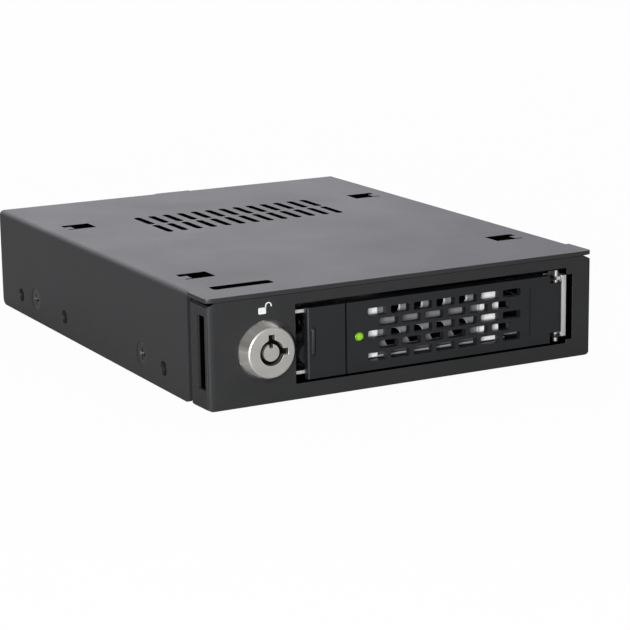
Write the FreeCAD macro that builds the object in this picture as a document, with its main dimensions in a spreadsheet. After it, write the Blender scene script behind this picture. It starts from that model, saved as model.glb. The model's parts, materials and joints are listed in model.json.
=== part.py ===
import FreeCAD, Part
import math
import os
import re
import Sketcher

# Lockable rack for one 2.5-inch drive, made to fit a 3.5-inch bay.
# X runs to the right as seen from the front, Y to the back and Z up.
# The origin is the middle of the housing's underside.
# Formulas below measure Y from the front face of the bezel.

SIZES = [
    # housing
    ("width", 101.6, "housing width over the cover"),
    ("depth", 127.0, "housing depth behind the front face"),
    ("height", 25.4, "housing height over the cover"),
    ("gauge", 1.0, "thickness of the cover and chassis sheet"),
    ("bend", 1.3, "outer radius of the sheet bends"),
    ("flange_round", 1.8, "radius of the lower corners of the cover's sides"),
    ("fit_gap", 0.1, "gap between pieces that are screwed together"),
    ("flange_height", 14.0, "height of the chassis side flanges"),
    ("ear_gap", 0.9, "left front ear of the chassis from the opening"),
    ("ear_gap_right", 0.6, "right front ear of the chassis from the opening"),
    ("bezel_depth", 8.2, "depth of the bezel"),
    ("cover_gap", 1.2, "gap between the bezel and the cover's sides"),
    ("bezel_inset", 0.1, "step from the cover's side to the bezel's side"),
    ("bezel_wall", 2.4, "bezel front wall"),
    ("bezel_rim", 2.2, "bezel side walls"),
    ("bezel_chamfer", 1.0, "chamfer along the bezel's upper side edges"),
    ("bezel_foot", 0.5, "chamfer along the bezel's lower side edges"),
    ("corner_round", 1.0, "radius of the bezel's upright front edges"),
    ("boss_block", 4.0, "side of the square screw bosses in the bezel"),
    ("side_slot_front", 1.9, "front edge of the bezel's side slot"),
    ("side_slot_back", 5.2, "back edge of the bezel's side slot"),
    ("side_slot_low", 4.6, "lower end of the bezel's side slot"),
    ("side_slot_rim", 2.9, "bezel's top edge above its side slot"),
    # cover openings
    ("vent_pitch", 4.05, "spacing of the top vents across"),
    ("vent_row_pitch", 11.7, "spacing of the two rows of top vents"),
    ("vent_start", 75.1, "front end of the first row of top vents"),
    ("vent_length", 10.4, "length of a top vent"),
    ("vent_radius", 0.95, "end radius of a top vent"),
    ("window_inset", 5.4, "cover windows from the cover's sides"),
    ("window_width", 7.4, "width of a cover window"),
    ("window_length", 5.8, "length of a cover window"),
    ("window_front", 21.2, "front edge of the front windows"),
    ("window_spacing", 69.9, "distance from front to rear windows"),
    ("tongue_length", 1.8, "reach of the tongue into a window"),
    ("tongue_start", 0.7, "tongue's distance from the window's front edge"),
    ("tongue_width", 2.8, "width of the tongue"),
    ("slot_length", 15.0, "length of the narrow slot"),
    ("slot_radius", 0.85, "half width of the narrow slot"),
    ("slot_back", 9.6, "narrow slot's distance from the front"),
    ("slot_inset", 13.4, "middle of the narrow slot from the bezel's left side"),
    ("rear_tab_width", 10.0, "width of the tab on the cover's rear edge"),
    ("rear_tab_length", 0.8, "length of the tab on the cover's rear edge"),
    # bay mounting
    ("mount_front", 23.0, "first side mounting hole from the front"),
    ("mount_mid", 60.0, "first to second side mounting hole"),
    ("mount_span", 90.0, "first to third side mounting hole"),
    ("mount_height", 5.0, "side mounting holes above the underside"),
    ("mount_thread", 1.25, "tapped hole radius of the side mounts"),
    ("mount_clear", 1.75, "hole radius in the cover over a side mount"),
    ("cover_screw_shift", 0.9, "cover screws behind the middle of the side mounting holes"),
    ("cover_screw_span", 67.4, "distance between the cover screws"),
    ("cover_screw_height", 5.8, "cover screws above the underside"),
    ("cover_screw_head", 2.75, "head radius of a cover screw"),
    ("cover_screw_sink", 0.2, "depth of a cover screw's face in its countersink"),
    ("cover_screw_shaft", 1.2, "shaft radius of a cover screw"),
    ("cover_screw_length", 3.4, "length of a cover screw"),
    # tray bay in the bezel
    ("opening_low", 3.6, "lower edge of the bezel opening"),
    ("opening_rim", 2.4, "bezel's top edge above its opening"),
    ("left_field", 21.8, "bezel to the left of its opening"),
    ("right_field", 5.4, "bezel to the right of its opening"),
    ("notch_width", 1.7, "width of the hinge notch"),
    ("notch_low", 4.5, "lower end of the hinge notch"),
    ("notch_drop", 1.6, "upper end of the hinge notch below the opening's edge"),
    ("tray_side_gap", 0.675, "gap between the tray and each side of the opening"),
    # tray
    ("drive_hole_span", 61.72, "drive screw holes across"),
    ("drive_hole_length", 76.6, "drive screw holes along"),
    ("drive_hole_back", 14.0, "rear drive screw hole from the drive's end"),
    ("drive_hole_radius", 1.6, "radius of the drive screw holes"),
    ("tray_gauge", 1.2, "thickness of the tray sheet"),
    ("tray_floor", 4.8, "underside of the tray floor"),
    ("floor_front", 7.7, "front edge of the tray floor"),
    ("cheek_front", 1.6, "front edge of the tray's cheeks"),
    ("cheek_back", 7.4, "back edge of the tray's cheeks"),
    ("cheek_low", 5.0, "lower end of the tray's cheeks"),
    ("cheek_drop", 0.5, "tray's cheeks below the hinge notch's upper end"),
    ("lug_front", 2.6, "front edge of the latch lugs"),
    ("lug_back", 6.0, "back edge of the lugs"),
    ("slide_gap", 0.2, "gap at sliding faces"),
    ("plate_gauge", 0.8, "thickness of the bright plate"),
    ("plate_front", 5.2, "front face of the bright plate"),
    ("plate_drop", 0.6, "bright plate's edge below the cheeks' upper end"),
    ("plate_margin", 5.2, "width of the bright plate's raised margins"),
    ("plate_step", 1.0, "margins in front of the bright plate's middle"),
    ("plate_foot", 3.6, "length of the bright plate's foot"),
    ("plate_hole", 1.9, "radius of the holes in the bright plate"),
    ("rivet_shaft", 1.0, "rivet shaft radius"),
    ("rivet_head", 1.7, "rivet head radius"),
    ("rivet_crown", 0.6, "rivet head height"),
    # door and hinge
    ("pin_y", 2.0, "hinge pin behind the front face"),
    ("pin_radius", 0.55, "hinge pin radius"),
    ("pin_low", 3.95, "lower end of the hinge pin"),
    ("pin_drop", 0.7, "upper end of the hinge pin below the opening's edge"),
    ("pin_inset", 3.35, "hinge pin from the opening's right edge"),
    ("run_gap", 0.05, "radial clearance of turning fits"),
    ("knuckle_radius", 1.2, "outer radius of the door's hinge knuckle"),
    ("lug_reach", 1.0, "hinge lug's edge beyond the pin's axis"),
    ("door_face", 0.8, "front face of door and latch behind the bezel's face"),
    ("door_wall", 1.6, "thickness of the door and latch front walls"),
    ("door_low", 3.95, "lower edge of door and latch"),
    ("door_drop", 1.6, "door and latch below the opening's upper edge"),
    ("seam", 0.25, "seam between latch and door"),
    ("door_notch", 2.4, "width of the door's corner notches"),
    ("rib_depth", 1.5, "depth of the door's stiffening ribs"),
    ("rib_width", 1.2, "thickness of the door's stiffening ribs"),
    ("grille_round", 0.4, "corner radius of a grille slot"),
    ("crease_inset", 8.15, "fine upright groove from the hinge pin"),
    ("led_inset", 3.25, "status light from the door's left edge"),
    ("led_width", 2.3, "width of the status light"),
    ("led_height", 1.9, "height of the status light"),
    ("lens_depth", 2.2, "depth of the status light's lens"),
    ("pipe_height", 2.0, "height of the light pipe"),
    ("pipe_width", 2.0, "width of the light pipe's front leg"),
    ("pipe_front", 4.6, "front end of the light pipe"),
    ("pipe_cross", 1.6, "width of the light pipe's cross leg"),
    ("latch_gap", 3.4, "open gap to the left of the latch"),
    ("latch_width", 9.8, "width of the latch button"),
    ("block_inset", 2.0, "latch's sliding block from its left edge"),
    ("groove_inset", 1.5, "finger groove from the latch's left edge"),
    ("groove_length", 6.6, "length of the finger groove"),
    # latch
    ("latch_travel", 1.8, "travel of the latch to the left"),
    ("nose_radius", 2.5, "end radius of the latch nose"),
    ("nose_depth", 2.8, "thickness of the latch nose"),
    ("groove_radius", 0.6, "half width of the finger groove"),
    ("groove_depth", 0.4, "depth of the finger groove"),
    ("spring_radius", 1.1, "coil radius of the latch spring"),
    ("spring_wire", 0.2, "wire radius of the latch spring"),
    ("spring_length", 7.6, "length of the latch spring at rest"),
    ("lock_inset", 14.6, "lock axis from the bezel's left side"),
    # lock
    ("lock_head", 7.15, "lock head radius at the bezel"),
    ("lock_face", 5.75, "lock head radius at its face"),
    ("lock_reach", 2.5, "lock head in front of the bezel"),
    ("lock_edge", 0.25, "chamfer of the lock's face"),
    ("barrel_radius", 5.0, "lock barrel radius"),
    ("barrel_length", 13.4, "lock barrel behind the bezel's face"),
    ("boss_radius", 6.9, "radius of the bezel's boss around the lock"),
    ("keyway_radius", 2.9, "outer radius of the ring keyway"),
    ("keyway_depth", 5.6, "depth of the ring keyway"),
    ("keyway_notch", 1.5, "width of the keyway's outer notches"),
    ("keyway_notch_depth", 1.2, "radial depth of the keyway's outer notches"),
    ("post_radius", 1.95, "radius of the lock's centre post"),
    ("post_notch", 1.0, "width of the centre post's notch"),
    ("post_notch_depth", 0.9, "radial depth of the centre post's notch"),
    ("post_sink", 0.3, "centre post behind the lock's face"),
    ("plug_radius", 3.6, "radius of the lock plug in its barrel"),
    ("tumbler_radius", 0.4, "radius of a tumbler pin"),
    ("tumbler_length", 4.0, "length of a tumbler pin"),
    ("tail_side", 3.2, "side of the plug's square tail"),
    ("nut_across", 12.0, "lock nut across flats"),
    ("nut_height", 2.2, "lock nut height"),
    ("cam_gauge", 1.6, "thickness of the lock cam"),
    ("cam_half", 2.3, "half width of the lock cam"),
    ("cam_reach", 7.4, "reach of the lock cam from the lock's axis"),
    ("cam_screw_shaft", 0.8, "cam screw shaft radius"),
    ("cam_screw_head", 2.2, "cam screw head radius"),
    ("cam_screw_length", 4.0, "cam screw length under the head"),
    # guides
    ("guide_wall", 1.5, "wall of a tray guide"),
    ("guide_ledge", 3.0, "ledge of a tray guide under the tray"),
    ("guide_high", 9.0, "upper edge of a tray guide"),
    ("guide_gap", 2.4, "gap between the front ears and the tray guides"),
    ("guide_end_gap", 4.0, "gap between the tray guides and the board"),
    ("guide_screw_inset", 14.0, "guide screws from the ends of a guide"),
    ("guide_rib", 0.8, "depth of a tray guide's ribs"),
    ("guide_screw_shaft", 0.9, "guide screw shaft radius"),
    ("guide_screw_head", 1.9, "guide screw head radius"),
    ("bezel_screw_shaft", 0.7, "bezel screw shaft radius"),
    ("bezel_screw_head", 1.3, "bezel screw head radius"),
    ("bezel_screw_length", 5.4, "bezel screw length under the head"),
    ("back_space", 11.0, "backplane board's front face from the housing's rear"),
    # backplane
    ("board_gauge", 1.6, "thickness of the backplane board"),
    ("board_low", 2.2, "lower edge of the backplane board"),
    ("board_drop", 1.9, "backplane board's edge below the bezel's top"),
    ("board_lug_inset", 5.4, "board screws from the tray's sides"),
    ("board_lug_width", 8.0, "width of the lugs that carry the board"),
    ("board_screw_gap", 0.6, "board screw heads above the drive socket"),
    ("board_screw_shaft", 1.2, "board screw shaft radius"),
    ("board_screw_head", 2.4, "board screw head radius"),
    ("socket_offset", 4.8, "drive socket from the tray's centre line"),
    ("socket_width", 43.0, "width of the drive socket"),
    ("socket_height", 5.6, "height of the drive socket"),
    ("socket_depth", 7.4, "depth of the drive socket"),
    ("socket_rise", 3.5, "drive socket above the tray floor's top"),
    ("socket_gap", 1.0, "gap between the tray and the drive socket"),
    ("port_height", 6.8, "height of the rear ports"),
    ("port_wall", 1.2, "wall of the rear ports"),
    ("data_offset", -14.2, "data port from the tray's centre line"),
    ("data_width", 14.4, "width of the data port"),
    ("power_offset", 7.8, "power port from the tray's centre line"),
    ("power_width", 24.6, "width of the power port"),
]

# How far a cutting shape runs past the face that it opens
PAST = "0.5"
# Counts of repeated openings
VENT_COLUMNS = 13
GRILLE_LONG_ROW = 7
GRILLE_SHORT_ROW = 6
PLATE_COLUMNS = 4
TUMBLERS = 7
GUIDE_RIBS = 5
# The latch spring is bent from short straight lengths
SPRING_TURNS = 5
SPRING_STEPS = 12

SIZE_NAMES = {name for name, value, meaning in SIZES}

# Places and sizes that follow from the driving sizes
FOLLOWING = {
    "bezel_side": "width / 2 - bezel_inset",
    "bezel_top": "height - gauge - fit_gap",
    "chassis_side": "width / 2 - gauge - fit_gap",
    "opening_left": "left_field - bezel_side",
    "opening_right": "bezel_side - right_field",
    "opening_high": "bezel_top - opening_rim",
    "notch_high": "opening_high - notch_drop",
    "side_slot_high": "bezel_top - side_slot_rim",
    "window_outer": "width / 2 - window_inset",
    "window_inner": "window_outer - window_width",
    "cover_front": "bezel_depth + cover_gap",
    "cover_screw_front": "mount_front + (mount_span - cover_screw_span) / 2 + cover_screw_shift",
    "slot_x": "slot_inset - bezel_side",
    "lock_x": "lock_inset - bezel_side",
    "lock_z": "bezel_top / 2",
    "board_front": "depth - back_space",
    "tray_offset": "(opening_left + opening_right) / 2",
    "tray_half": "(opening_right - opening_left) / 2 - tray_side_gap",
    "tray_left": "tray_offset - tray_half",
    "tray_right": "tray_offset + tray_half",
    "tray_back": "board_front - socket_depth - socket_gap",
    "floor_top": "tray_floor + tray_gauge",
    "cheek_high": "notch_high - cheek_drop",
    "pin_x": "opening_right - pin_inset",
    "pin_high": "opening_high - pin_drop",
    "knuckle_low": "cheek_low + tray_gauge + slide_gap",
    "knuckle_high": "cheek_high - tray_gauge - slide_gap",
    "latch_left": "opening_left + latch_gap",
    "latch_right": "latch_left + latch_width",
    "block_left": "latch_left + block_inset",
    "groove_x": "latch_left + groove_inset",
    "nose_z": "knuckle_low + nose_radius * 1.2",
    "spring_z": "knuckle_high - spring_radius - 5 * spring_wire",
    "door_left": "latch_right + seam",
    "door_high": "opening_high - door_drop",
    "door_back": "door_face + door_wall",
    "led_x": "door_left + led_inset",
    "led_z": "(door_low + door_high) / 2",
    "wall_top": "led_z - pipe_height / 2",
    "groove_low": "led_z - groove_length * 0.45",
    "groove_high": "groove_low + groove_length",
    "grille_pitch": "(pin_x - door_left) / 9.49",
    "grille_left": "door_left + 0.9 * grille_pitch",
    "grille_length": "0.81 * grille_pitch",
    "grille_row": "(door_high - door_low) / 6.24",
    "grille_top": "led_z + 2.04 * grille_row",
    "grille_height": "0.706 * grille_row",
    "crease_x": "pin_x - crease_inset",
    "plate_width": "6.28 * grille_pitch",
    "plate_high": "cheek_high - plate_drop",
    "plate_middle": "(floor_top + plate_gauge + plate_high) / 2",
    "plate_row_pitch": "2.8 * grille_row",
    "rivet_spacing": "3.9 * grille_pitch",
    "rivet_y": "plate_front + plate_gauge + plate_foot / 2",
    "tray_window_width": "plate_width + 5 * tray_gauge",
    "tray_window_length": "(tray_back - floor_front) * 0.34",
    "keyway_floor": "keyway_depth - lock_reach",
    "ear_back": "bezel_depth + gauge",
    "cam_front": "barrel_length + 2 * slide_gap",
    "cam_back": "cam_front + cam_gauge",
    "block_back": "lug_back + slide_gap",
    "spring_y": "block_back - spring_radius - spring_wire",
    "guide_front": "ear_back + guide_gap",
    "guide_length": "board_front - guide_end_gap - guide_front",
    "guide_rib_pitch": "guide_length / 5.6",
    "guide_screw_front": "guide_front + guide_screw_inset",
    "guide_screw_span": "guide_length - 2 * guide_screw_inset",
    "board_high": "bezel_top - board_drop",
    "board_lug": "tray_half - board_lug_inset",
    "socket_z": "floor_top + socket_rise",
    "board_screw_z": "socket_z + socket_height / 2 + board_screw_head + board_screw_gap",
    "port_z": "0.4134 * height",
    "data_x": "tray_offset + data_offset",
    "power_x": "tray_offset + power_offset",
}

App = FreeCAD
doc = App.newDocument("drive_rack")
sheet = doc.addObject("Spreadsheet::Sheet", "sizes")
nodes = []


def fill_sheet():
    """Write each driving size, its name and its meaning on one row."""
    for row, (name, value, meaning) in enumerate(SIZES, start=1):
        sheet.set("A%d" % row, name)
        sheet.set("B%d" % row, str(value))
        sheet.set("C%d" % row, meaning)
        sheet.setAlias("B%d" % row, name)
    doc.recompute()


def formula(text):
    """A formula with each size pointed at the sheet and each following value written out."""
    def point(match):
        word = match.group(0)
        if word in FOLLOWING:
            return "(%s)" % formula(FOLLOWING[word])
        return "sizes." + word if word in SIZE_NAMES else word
    return re.sub(r"[a-z][a-z_]*", point, text)


def size(text):
    """The present value of a formula, in millimetres."""
    return float(sheet.evalExpression(formula(text)))


def bind(item, prop, text):
    item.setExpression(prop, formula(text))


def place(item, x="0", y="0", z="0"):
    """Put an object at x, at y behind the front face, and at z."""
    bind(item, "Placement.Base.x", x)
    bind(item, "Placement.Base.y", "(%s) - depth / 2" % y)
    bind(item, "Placement.Base.z", z)


# Sketches and features

PLANES = {"x": ("YZ_Plane", 1), "y": ("XZ_Plane", -1), "z": ("XY_Plane", 1)}


def new_body(label, x="0", y="0", z="0"):
    body = doc.addObject("PartDesign::Body", label)
    body.Label = label
    place(body, x, y, z)
    nodes.append(body)
    return body


def origin_item(body, role):
    return [item for item in body.Origin.OriginFeatures if item.Role == role][0]


def new_sketch(body, name, axis, level):
    """A sketch square to an axis, at a level along it."""
    role, side = PLANES[axis]
    sketch = body.newObject("Sketcher::SketchObject", name)
    sketch.AttachmentSupport = [(origin_item(body, role), "")]
    sketch.MapMode = "FlatFace"
    bind(sketch, "AttachmentOffset.Base.z", "%d * (%s)" % (side, level))
    return sketch


def constrain(sketch, text, kind, *places):
    """A dimension in a sketch, bound to a formula."""
    index = sketch.addConstraint(Sketcher.Constraint(kind, *places, size(text)))
    bind(sketch, "Constraints[%d]" % index, text)


def hold(sketch, curve, point, u, v):
    """Fix a point of a sketch at u across and v up."""
    constrain(sketch, u, "DistanceX", -1, 1, curve, point)
    constrain(sketch, v, "DistanceY", -1, 1, curve, point)


def draw_circle(sketch, u, v, radius):
    spot = App.Vector(size(u), size(v), 0)
    curve = sketch.addGeometry(Part.Circle(spot, App.Vector(0, 0, 1), size(radius)))
    constrain(sketch, radius, "Radius", curve)
    hold(sketch, curve, 3, u, v)


def corner_arc(spot, before, after, radius):
    """Arc that rounds a square corner, its end order and the signs of its centre."""
    way_in = (spot - before).normalize()
    way_out = (after - spot).normalize()
    sign_u = round(way_out.x - way_in.x)
    sign_v = round(way_out.y - way_in.y)
    centre = spot + App.Vector(sign_u, sign_v, 0) * radius
    ends = [spot - way_in * radius, spot + way_out * radius]
    left_turn = way_in.cross(way_out).z > 0
    first, last = ends if left_turn else reversed(ends)
    circle = Part.Circle(centre, App.Vector(0, 0, 1), radius)
    start = circle.parameter(first)
    stop = circle.parameter(last)
    if stop <= start:
        stop += circle.LastParameter
    order = (1, 2) if left_turn else (2, 1)
    return Part.ArcOfCircle(circle, start, stop), ends, order, sign_u, sign_v


def draw_outline(sketch, points):
    """Closed outline through corners (u, v), or (u, v, radius) at a rounded square corner."""
    spots = [App.Vector(size(point[0]), size(point[1]), 0) for point in points]
    count = len(points)
    arcs = {}
    for i, point in enumerate(points):
        if len(point) == 3:
            arcs[i] = corner_arc(spots[i], spots[i - 1], spots[(i + 1) % count], size(point[2]))
    lines = []
    for i in range(count):
        j = (i + 1) % count
        start = arcs[i][1][1] if i in arcs else spots[i]
        stop = arcs[j][1][0] if j in arcs else spots[j]
        lines.append(sketch.addGeometry(Part.LineSegment(start, stop)))
    for i, point in enumerate(points):
        if i not in arcs:
            sketch.addConstraint(Sketcher.Constraint("Coincident", lines[i - 1], 2, lines[i], 1))
            hold(sketch, lines[i], 1, point[0], point[1])
            continue
        arc, ends, order, sign_u, sign_v = arcs[i]
        curve = sketch.addGeometry(arc)
        sketch.addConstraint(Sketcher.Constraint("Tangent", lines[i - 1], 2, curve, order[0]))
        sketch.addConstraint(Sketcher.Constraint("Tangent", curve, order[1], lines[i], 1))
        constrain(sketch, point[2], "Radius", curve)
        hold(sketch, curve, 3, "(%s) + %d * (%s)" % (point[0], sign_u, point[2]),
             "(%s) + %d * (%s)" % (point[1], sign_v, point[2]))


def box(u_low, v_low, u_high, v_high, radius=None):
    """Corners of a rectangle, rounded if a radius is given."""
    corners = [(u_low, v_low), (u_high, v_low), (u_high, v_high), (u_low, v_high)]
    if radius is None:
        return corners
    return [corner + (radius,) for corner in corners]


def centred(u, v, u_size, v_size, radius=None):
    """Corners of a rectangle about a middle point."""
    return box("%s - (%s) / 2" % (u, u_size), "%s - (%s) / 2" % (v, v_size),
               "%s + (%s) / 2" % (u, u_size), "%s + (%s) / 2" % (v, v_size), radius)


def draw(sketch, shapes):
    """Circles are (u, v, radius) tuples and outlines are lists of corners."""
    for shape in shapes:
        if isinstance(shape, tuple):
            draw_circle(sketch, *shape)
        else:
            draw_outline(sketch, shape)


def pad(body, name, axis, low, high, *shapes):
    """Raise outlines from one level to a higher one along an axis."""
    sketch = new_sketch(body, name + "_sketch", axis, low)
    draw(sketch, shapes)
    feature = body.newObject("PartDesign::Pad", name)
    feature.Profile = sketch
    feature.Reversed = axis == "y"
    bind(feature, "Length", "(%s) - (%s)" % (high, low))
    doc.recompute()
    return feature


def cut(body, name, axis, low, high, *shapes):
    """Cut outlines from one level to a higher one along an axis."""
    before = body.Shape.Volume
    sketch = new_sketch(body, name + "_sketch", axis, low)
    draw(sketch, shapes)
    feature = body.newObject("PartDesign::Pocket", name)
    feature.Profile = sketch
    feature.Reversed = axis != "y"
    bind(feature, "Length", "(%s) - (%s)" % (high, low))
    doc.recompute()
    if not body.Shape.Volume < before:
        raise RuntimeError("%s cuts nothing from %s" % (name, body.Label))
    return feature


def repeat(body, name, feature, axis, count, pitch):
    """Copies of a feature along an axis."""
    pattern = body.newObject("PartDesign::LinearPattern", name)
    pattern.Originals = [feature]
    pattern.Direction = (origin_item(body, axis.upper() + "_Axis"), [""])
    pattern.Mode = "Spacing"
    pattern.Occurrences = count
    bind(pattern, "Offset", pitch)
    body.Tip = pattern
    doc.recompute()
    return pattern


def turn(body, name, profile):
    """Turn a profile of (radius, y) corners about the body's Y axis."""
    sketch = new_sketch(body, name + "_sketch", "z", "0")
    draw_outline(sketch, profile)
    feature = body.newObject("PartDesign::Revolution", name)
    feature.Profile = sketch
    feature.ReferenceAxis = (origin_item(body, "Y_Axis"), [""])
    feature.Angle = 360
    doc.recompute()
    return feature


def countersink(body, name, spot, way, wide, narrow):
    """Cone cut from a face of the sheet to the other face."""
    before = body.Shape.Volume
    cone = body.newObject("PartDesign::SubtractiveCone", name)
    cone.Placement = App.Placement(App.Vector(), App.Rotation(App.Vector(0, 0, 1), App.Vector(*way)))
    for axis, text in zip("xyz", spot):
        bind(cone, "Placement.Base." + axis, text)
    bind(cone, "Radius1", wide)
    bind(cone, "Radius2", narrow)
    bind(cone, "Height", "gauge")
    doc.recompute()
    if not body.Shape.Volume < before:
        raise RuntimeError("%s cuts nothing from %s" % (name, body.Label))


def fillet(body, name, radius, test):
    """Round the edges whose middle and direction pass a test."""
    base = body.Tip
    names = []
    for i, edge in enumerate(base.Shape.Edges, start=1):
        if edge.Curve.TypeId == "Part::GeomLine" and test(edge.CenterOfMass, edge.Curve.Direction):
            names.append("Edge%d" % i)
    feature = body.newObject("PartDesign::Fillet", name)
    feature.Base = (base, names)
    bind(feature, "Radius", radius)
    doc.recompute()
    return feature


def near(value, text):
    return abs(value - size(text)) < 0.01


# Turned pieces that come in groups of separate solids

def turned(profile, spot, way):
    """Solid of revolution from (radius, length) corners, standing on a spot along a way."""
    points = [App.Vector(size(r), 0, size(z)) for r, z in profile]
    face = Part.Face(Part.makePolygon(points + points[:1]))
    solid = face.revolve(App.Vector(), App.Vector(0, 0, 1), 360)
    place_at = App.Vector(*[size(text) for text in spot])
    solid.Placement = App.Placement(place_at, App.Rotation(App.Vector(0, 0, 1), App.Vector(*way)))
    return solid


def flat_screw(head, shaft, length, sink="0"):
    """Screw with its head sunk through the sheet and its shaft along the way."""
    return [("0", sink), (head, sink), (shaft, "gauge"), (shaft, length), ("0", length)]


def pan_screw(head, crown, shaft, length):
    """Round headed screw, seated at zero, with its shaft along the way."""
    return [("0", "-(%s)" % crown), ("%s * 0.7" % head, "-(%s)" % crown), (head, "-(%s) / 3" % crown),
            (head, "0"), (shaft, "0"), (shaft, length), ("0", length)]


def add_group(label, solids):
    group = doc.addObject("Part::Feature", label)
    group.Label = label
    group.Shape = Part.makeCompound(solids)
    group.Placement = App.Placement(App.Vector(0, -size("depth") / 2, 0), App.Rotation())
    nodes.append(group)


# Places that several pieces share

MOUNT_HOLES = [("mount_front + %s" % step, "mount_height") for step in ("0", "mount_mid", "mount_span")]
COVER_SCREWS = [("cover_screw_front + %s" % step, "cover_screw_height")
                for step in ("0", "cover_screw_span")]
BEZEL_SCREWS = [
    (x, z)
    for x in ("-bezel_side + bezel_rim + boss_block / 2", "opening_right + boss_block * 0.4")
    for z in ("bezel_rim + boss_block / 2", "bezel_top - bezel_rim - boss_block / 2")
]
GUIDE_SCREWS = [
    ("tray_offset + %d * (%s - guide_ledge / 2)" % (side, "tray_half"), "guide_screw_front + %s" % step)
    for side in (-1, 1)
    for step in ("0", "guide_screw_span")
]
BOARD_SCREWS = ["tray_offset + %d * board_lug" % side for side in (-1, 1)]
RIVETS = ["tray_offset + %d * rivet_spacing / 2" % side for side in (-1, 1)]


def discs(spots, radius):
    return [(u, v, radius) for u, v in spots]


# Housing

def make_top_cover():
    body = new_body("top_cover")
    inner = "width / 2 - gauge"
    pad(body, "fold", "y", "cover_front", "depth", [
        ("-width / 2", "0"), ("-width / 2", "height", "bend"), ("width / 2", "height", "bend"),
        ("width / 2", "0"), (inner, "0"), (inner, "height - gauge", "bend - gauge"),
        ("-(%s)" % inner, "height - gauge", "bend - gauge"), ("-(%s)" % inner, "0"),
    ])
    pad(body, "front_tab", "z", "height - gauge", "height", [
        ("-bezel_side", "cover_front"), ("-bezel_side", "0", "corner_round"),
        ("bezel_side", "0", "corner_round"), ("bezel_side", "cover_front"),
    ])
    pad(body, "rear_tab", "z", "height - gauge", "height",
        box("-rear_tab_width / 2", "depth", "rear_tab_width / 2", "depth + rear_tab_length"))
    low, high = "height - gauge - " + PAST, "height + " + PAST
    first = "-vent_pitch * %d / 2" % (VENT_COLUMNS - 1)
    vent = cut(body, "vent", "z", low, high, *[
        box(first + " - vent_radius", "vent_start + %s" % step, first + " + vent_radius",
            "vent_start + %s + vent_length" % step, "vent_radius * 0.98")
        for step in ("0", "vent_row_pitch")])
    repeat(body, "vents", vent, "x", VENT_COLUMNS, "vent_pitch")
    windows = []
    for side in (-1, 1):
        for step in ("0", "window_spacing"):
            front = "(window_front + %s)" % step
            back = front + " + window_length"
            tongue = front + " + tongue_start"
            windows.append([
                ("%d * window_inner" % side, front), ("%d * window_inner" % side, back),
                ("%d * window_outer" % side, back),
                ("%d * window_outer" % side, tongue + " + tongue_width"),
                ("%d * (window_outer - tongue_length)" % side, tongue + " + tongue_width"),
                ("%d * (window_outer - tongue_length)" % side, tongue),
                ("%d * window_outer" % side, tongue), ("%d * window_outer" % side, front),
            ])
    cut(body, "windows", "z", low, high, *windows)
    cut(body, "front_slot", "z", low, high,
        centred("slot_x", "slot_back", "slot_length", "2 * slot_radius", "slot_radius * 0.98"))
    cut(body, "side_holes", "x", "-width / 2 - " + PAST, "width / 2 + " + PAST,
        *discs(MOUNT_HOLES, "mount_clear"), *discs(COVER_SCREWS, "cover_screw_shaft + run_gap"))
    mouth = "(cover_screw_head * gauge - cover_screw_shaft * cover_screw_sink) / (gauge - cover_screw_sink)"
    for side in (-1, 1):
        for i, (y, z) in enumerate(COVER_SCREWS):
            countersink(body, "countersink_%s%d" % ("lr"[side > 0], i), ("%d * width / 2" % side, y, z),
                        (-side, 0, 0), mouth + " + run_gap", "cover_screw_shaft + run_gap")
    for name, end in (("front_corners", "cover_front"), ("rear_corners", "depth")):
        fillet(body, name, "flange_round",
               lambda spot, way: near(spot.y, end) and near(spot.z, "0") and abs(way.x) > 0.9)


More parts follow.
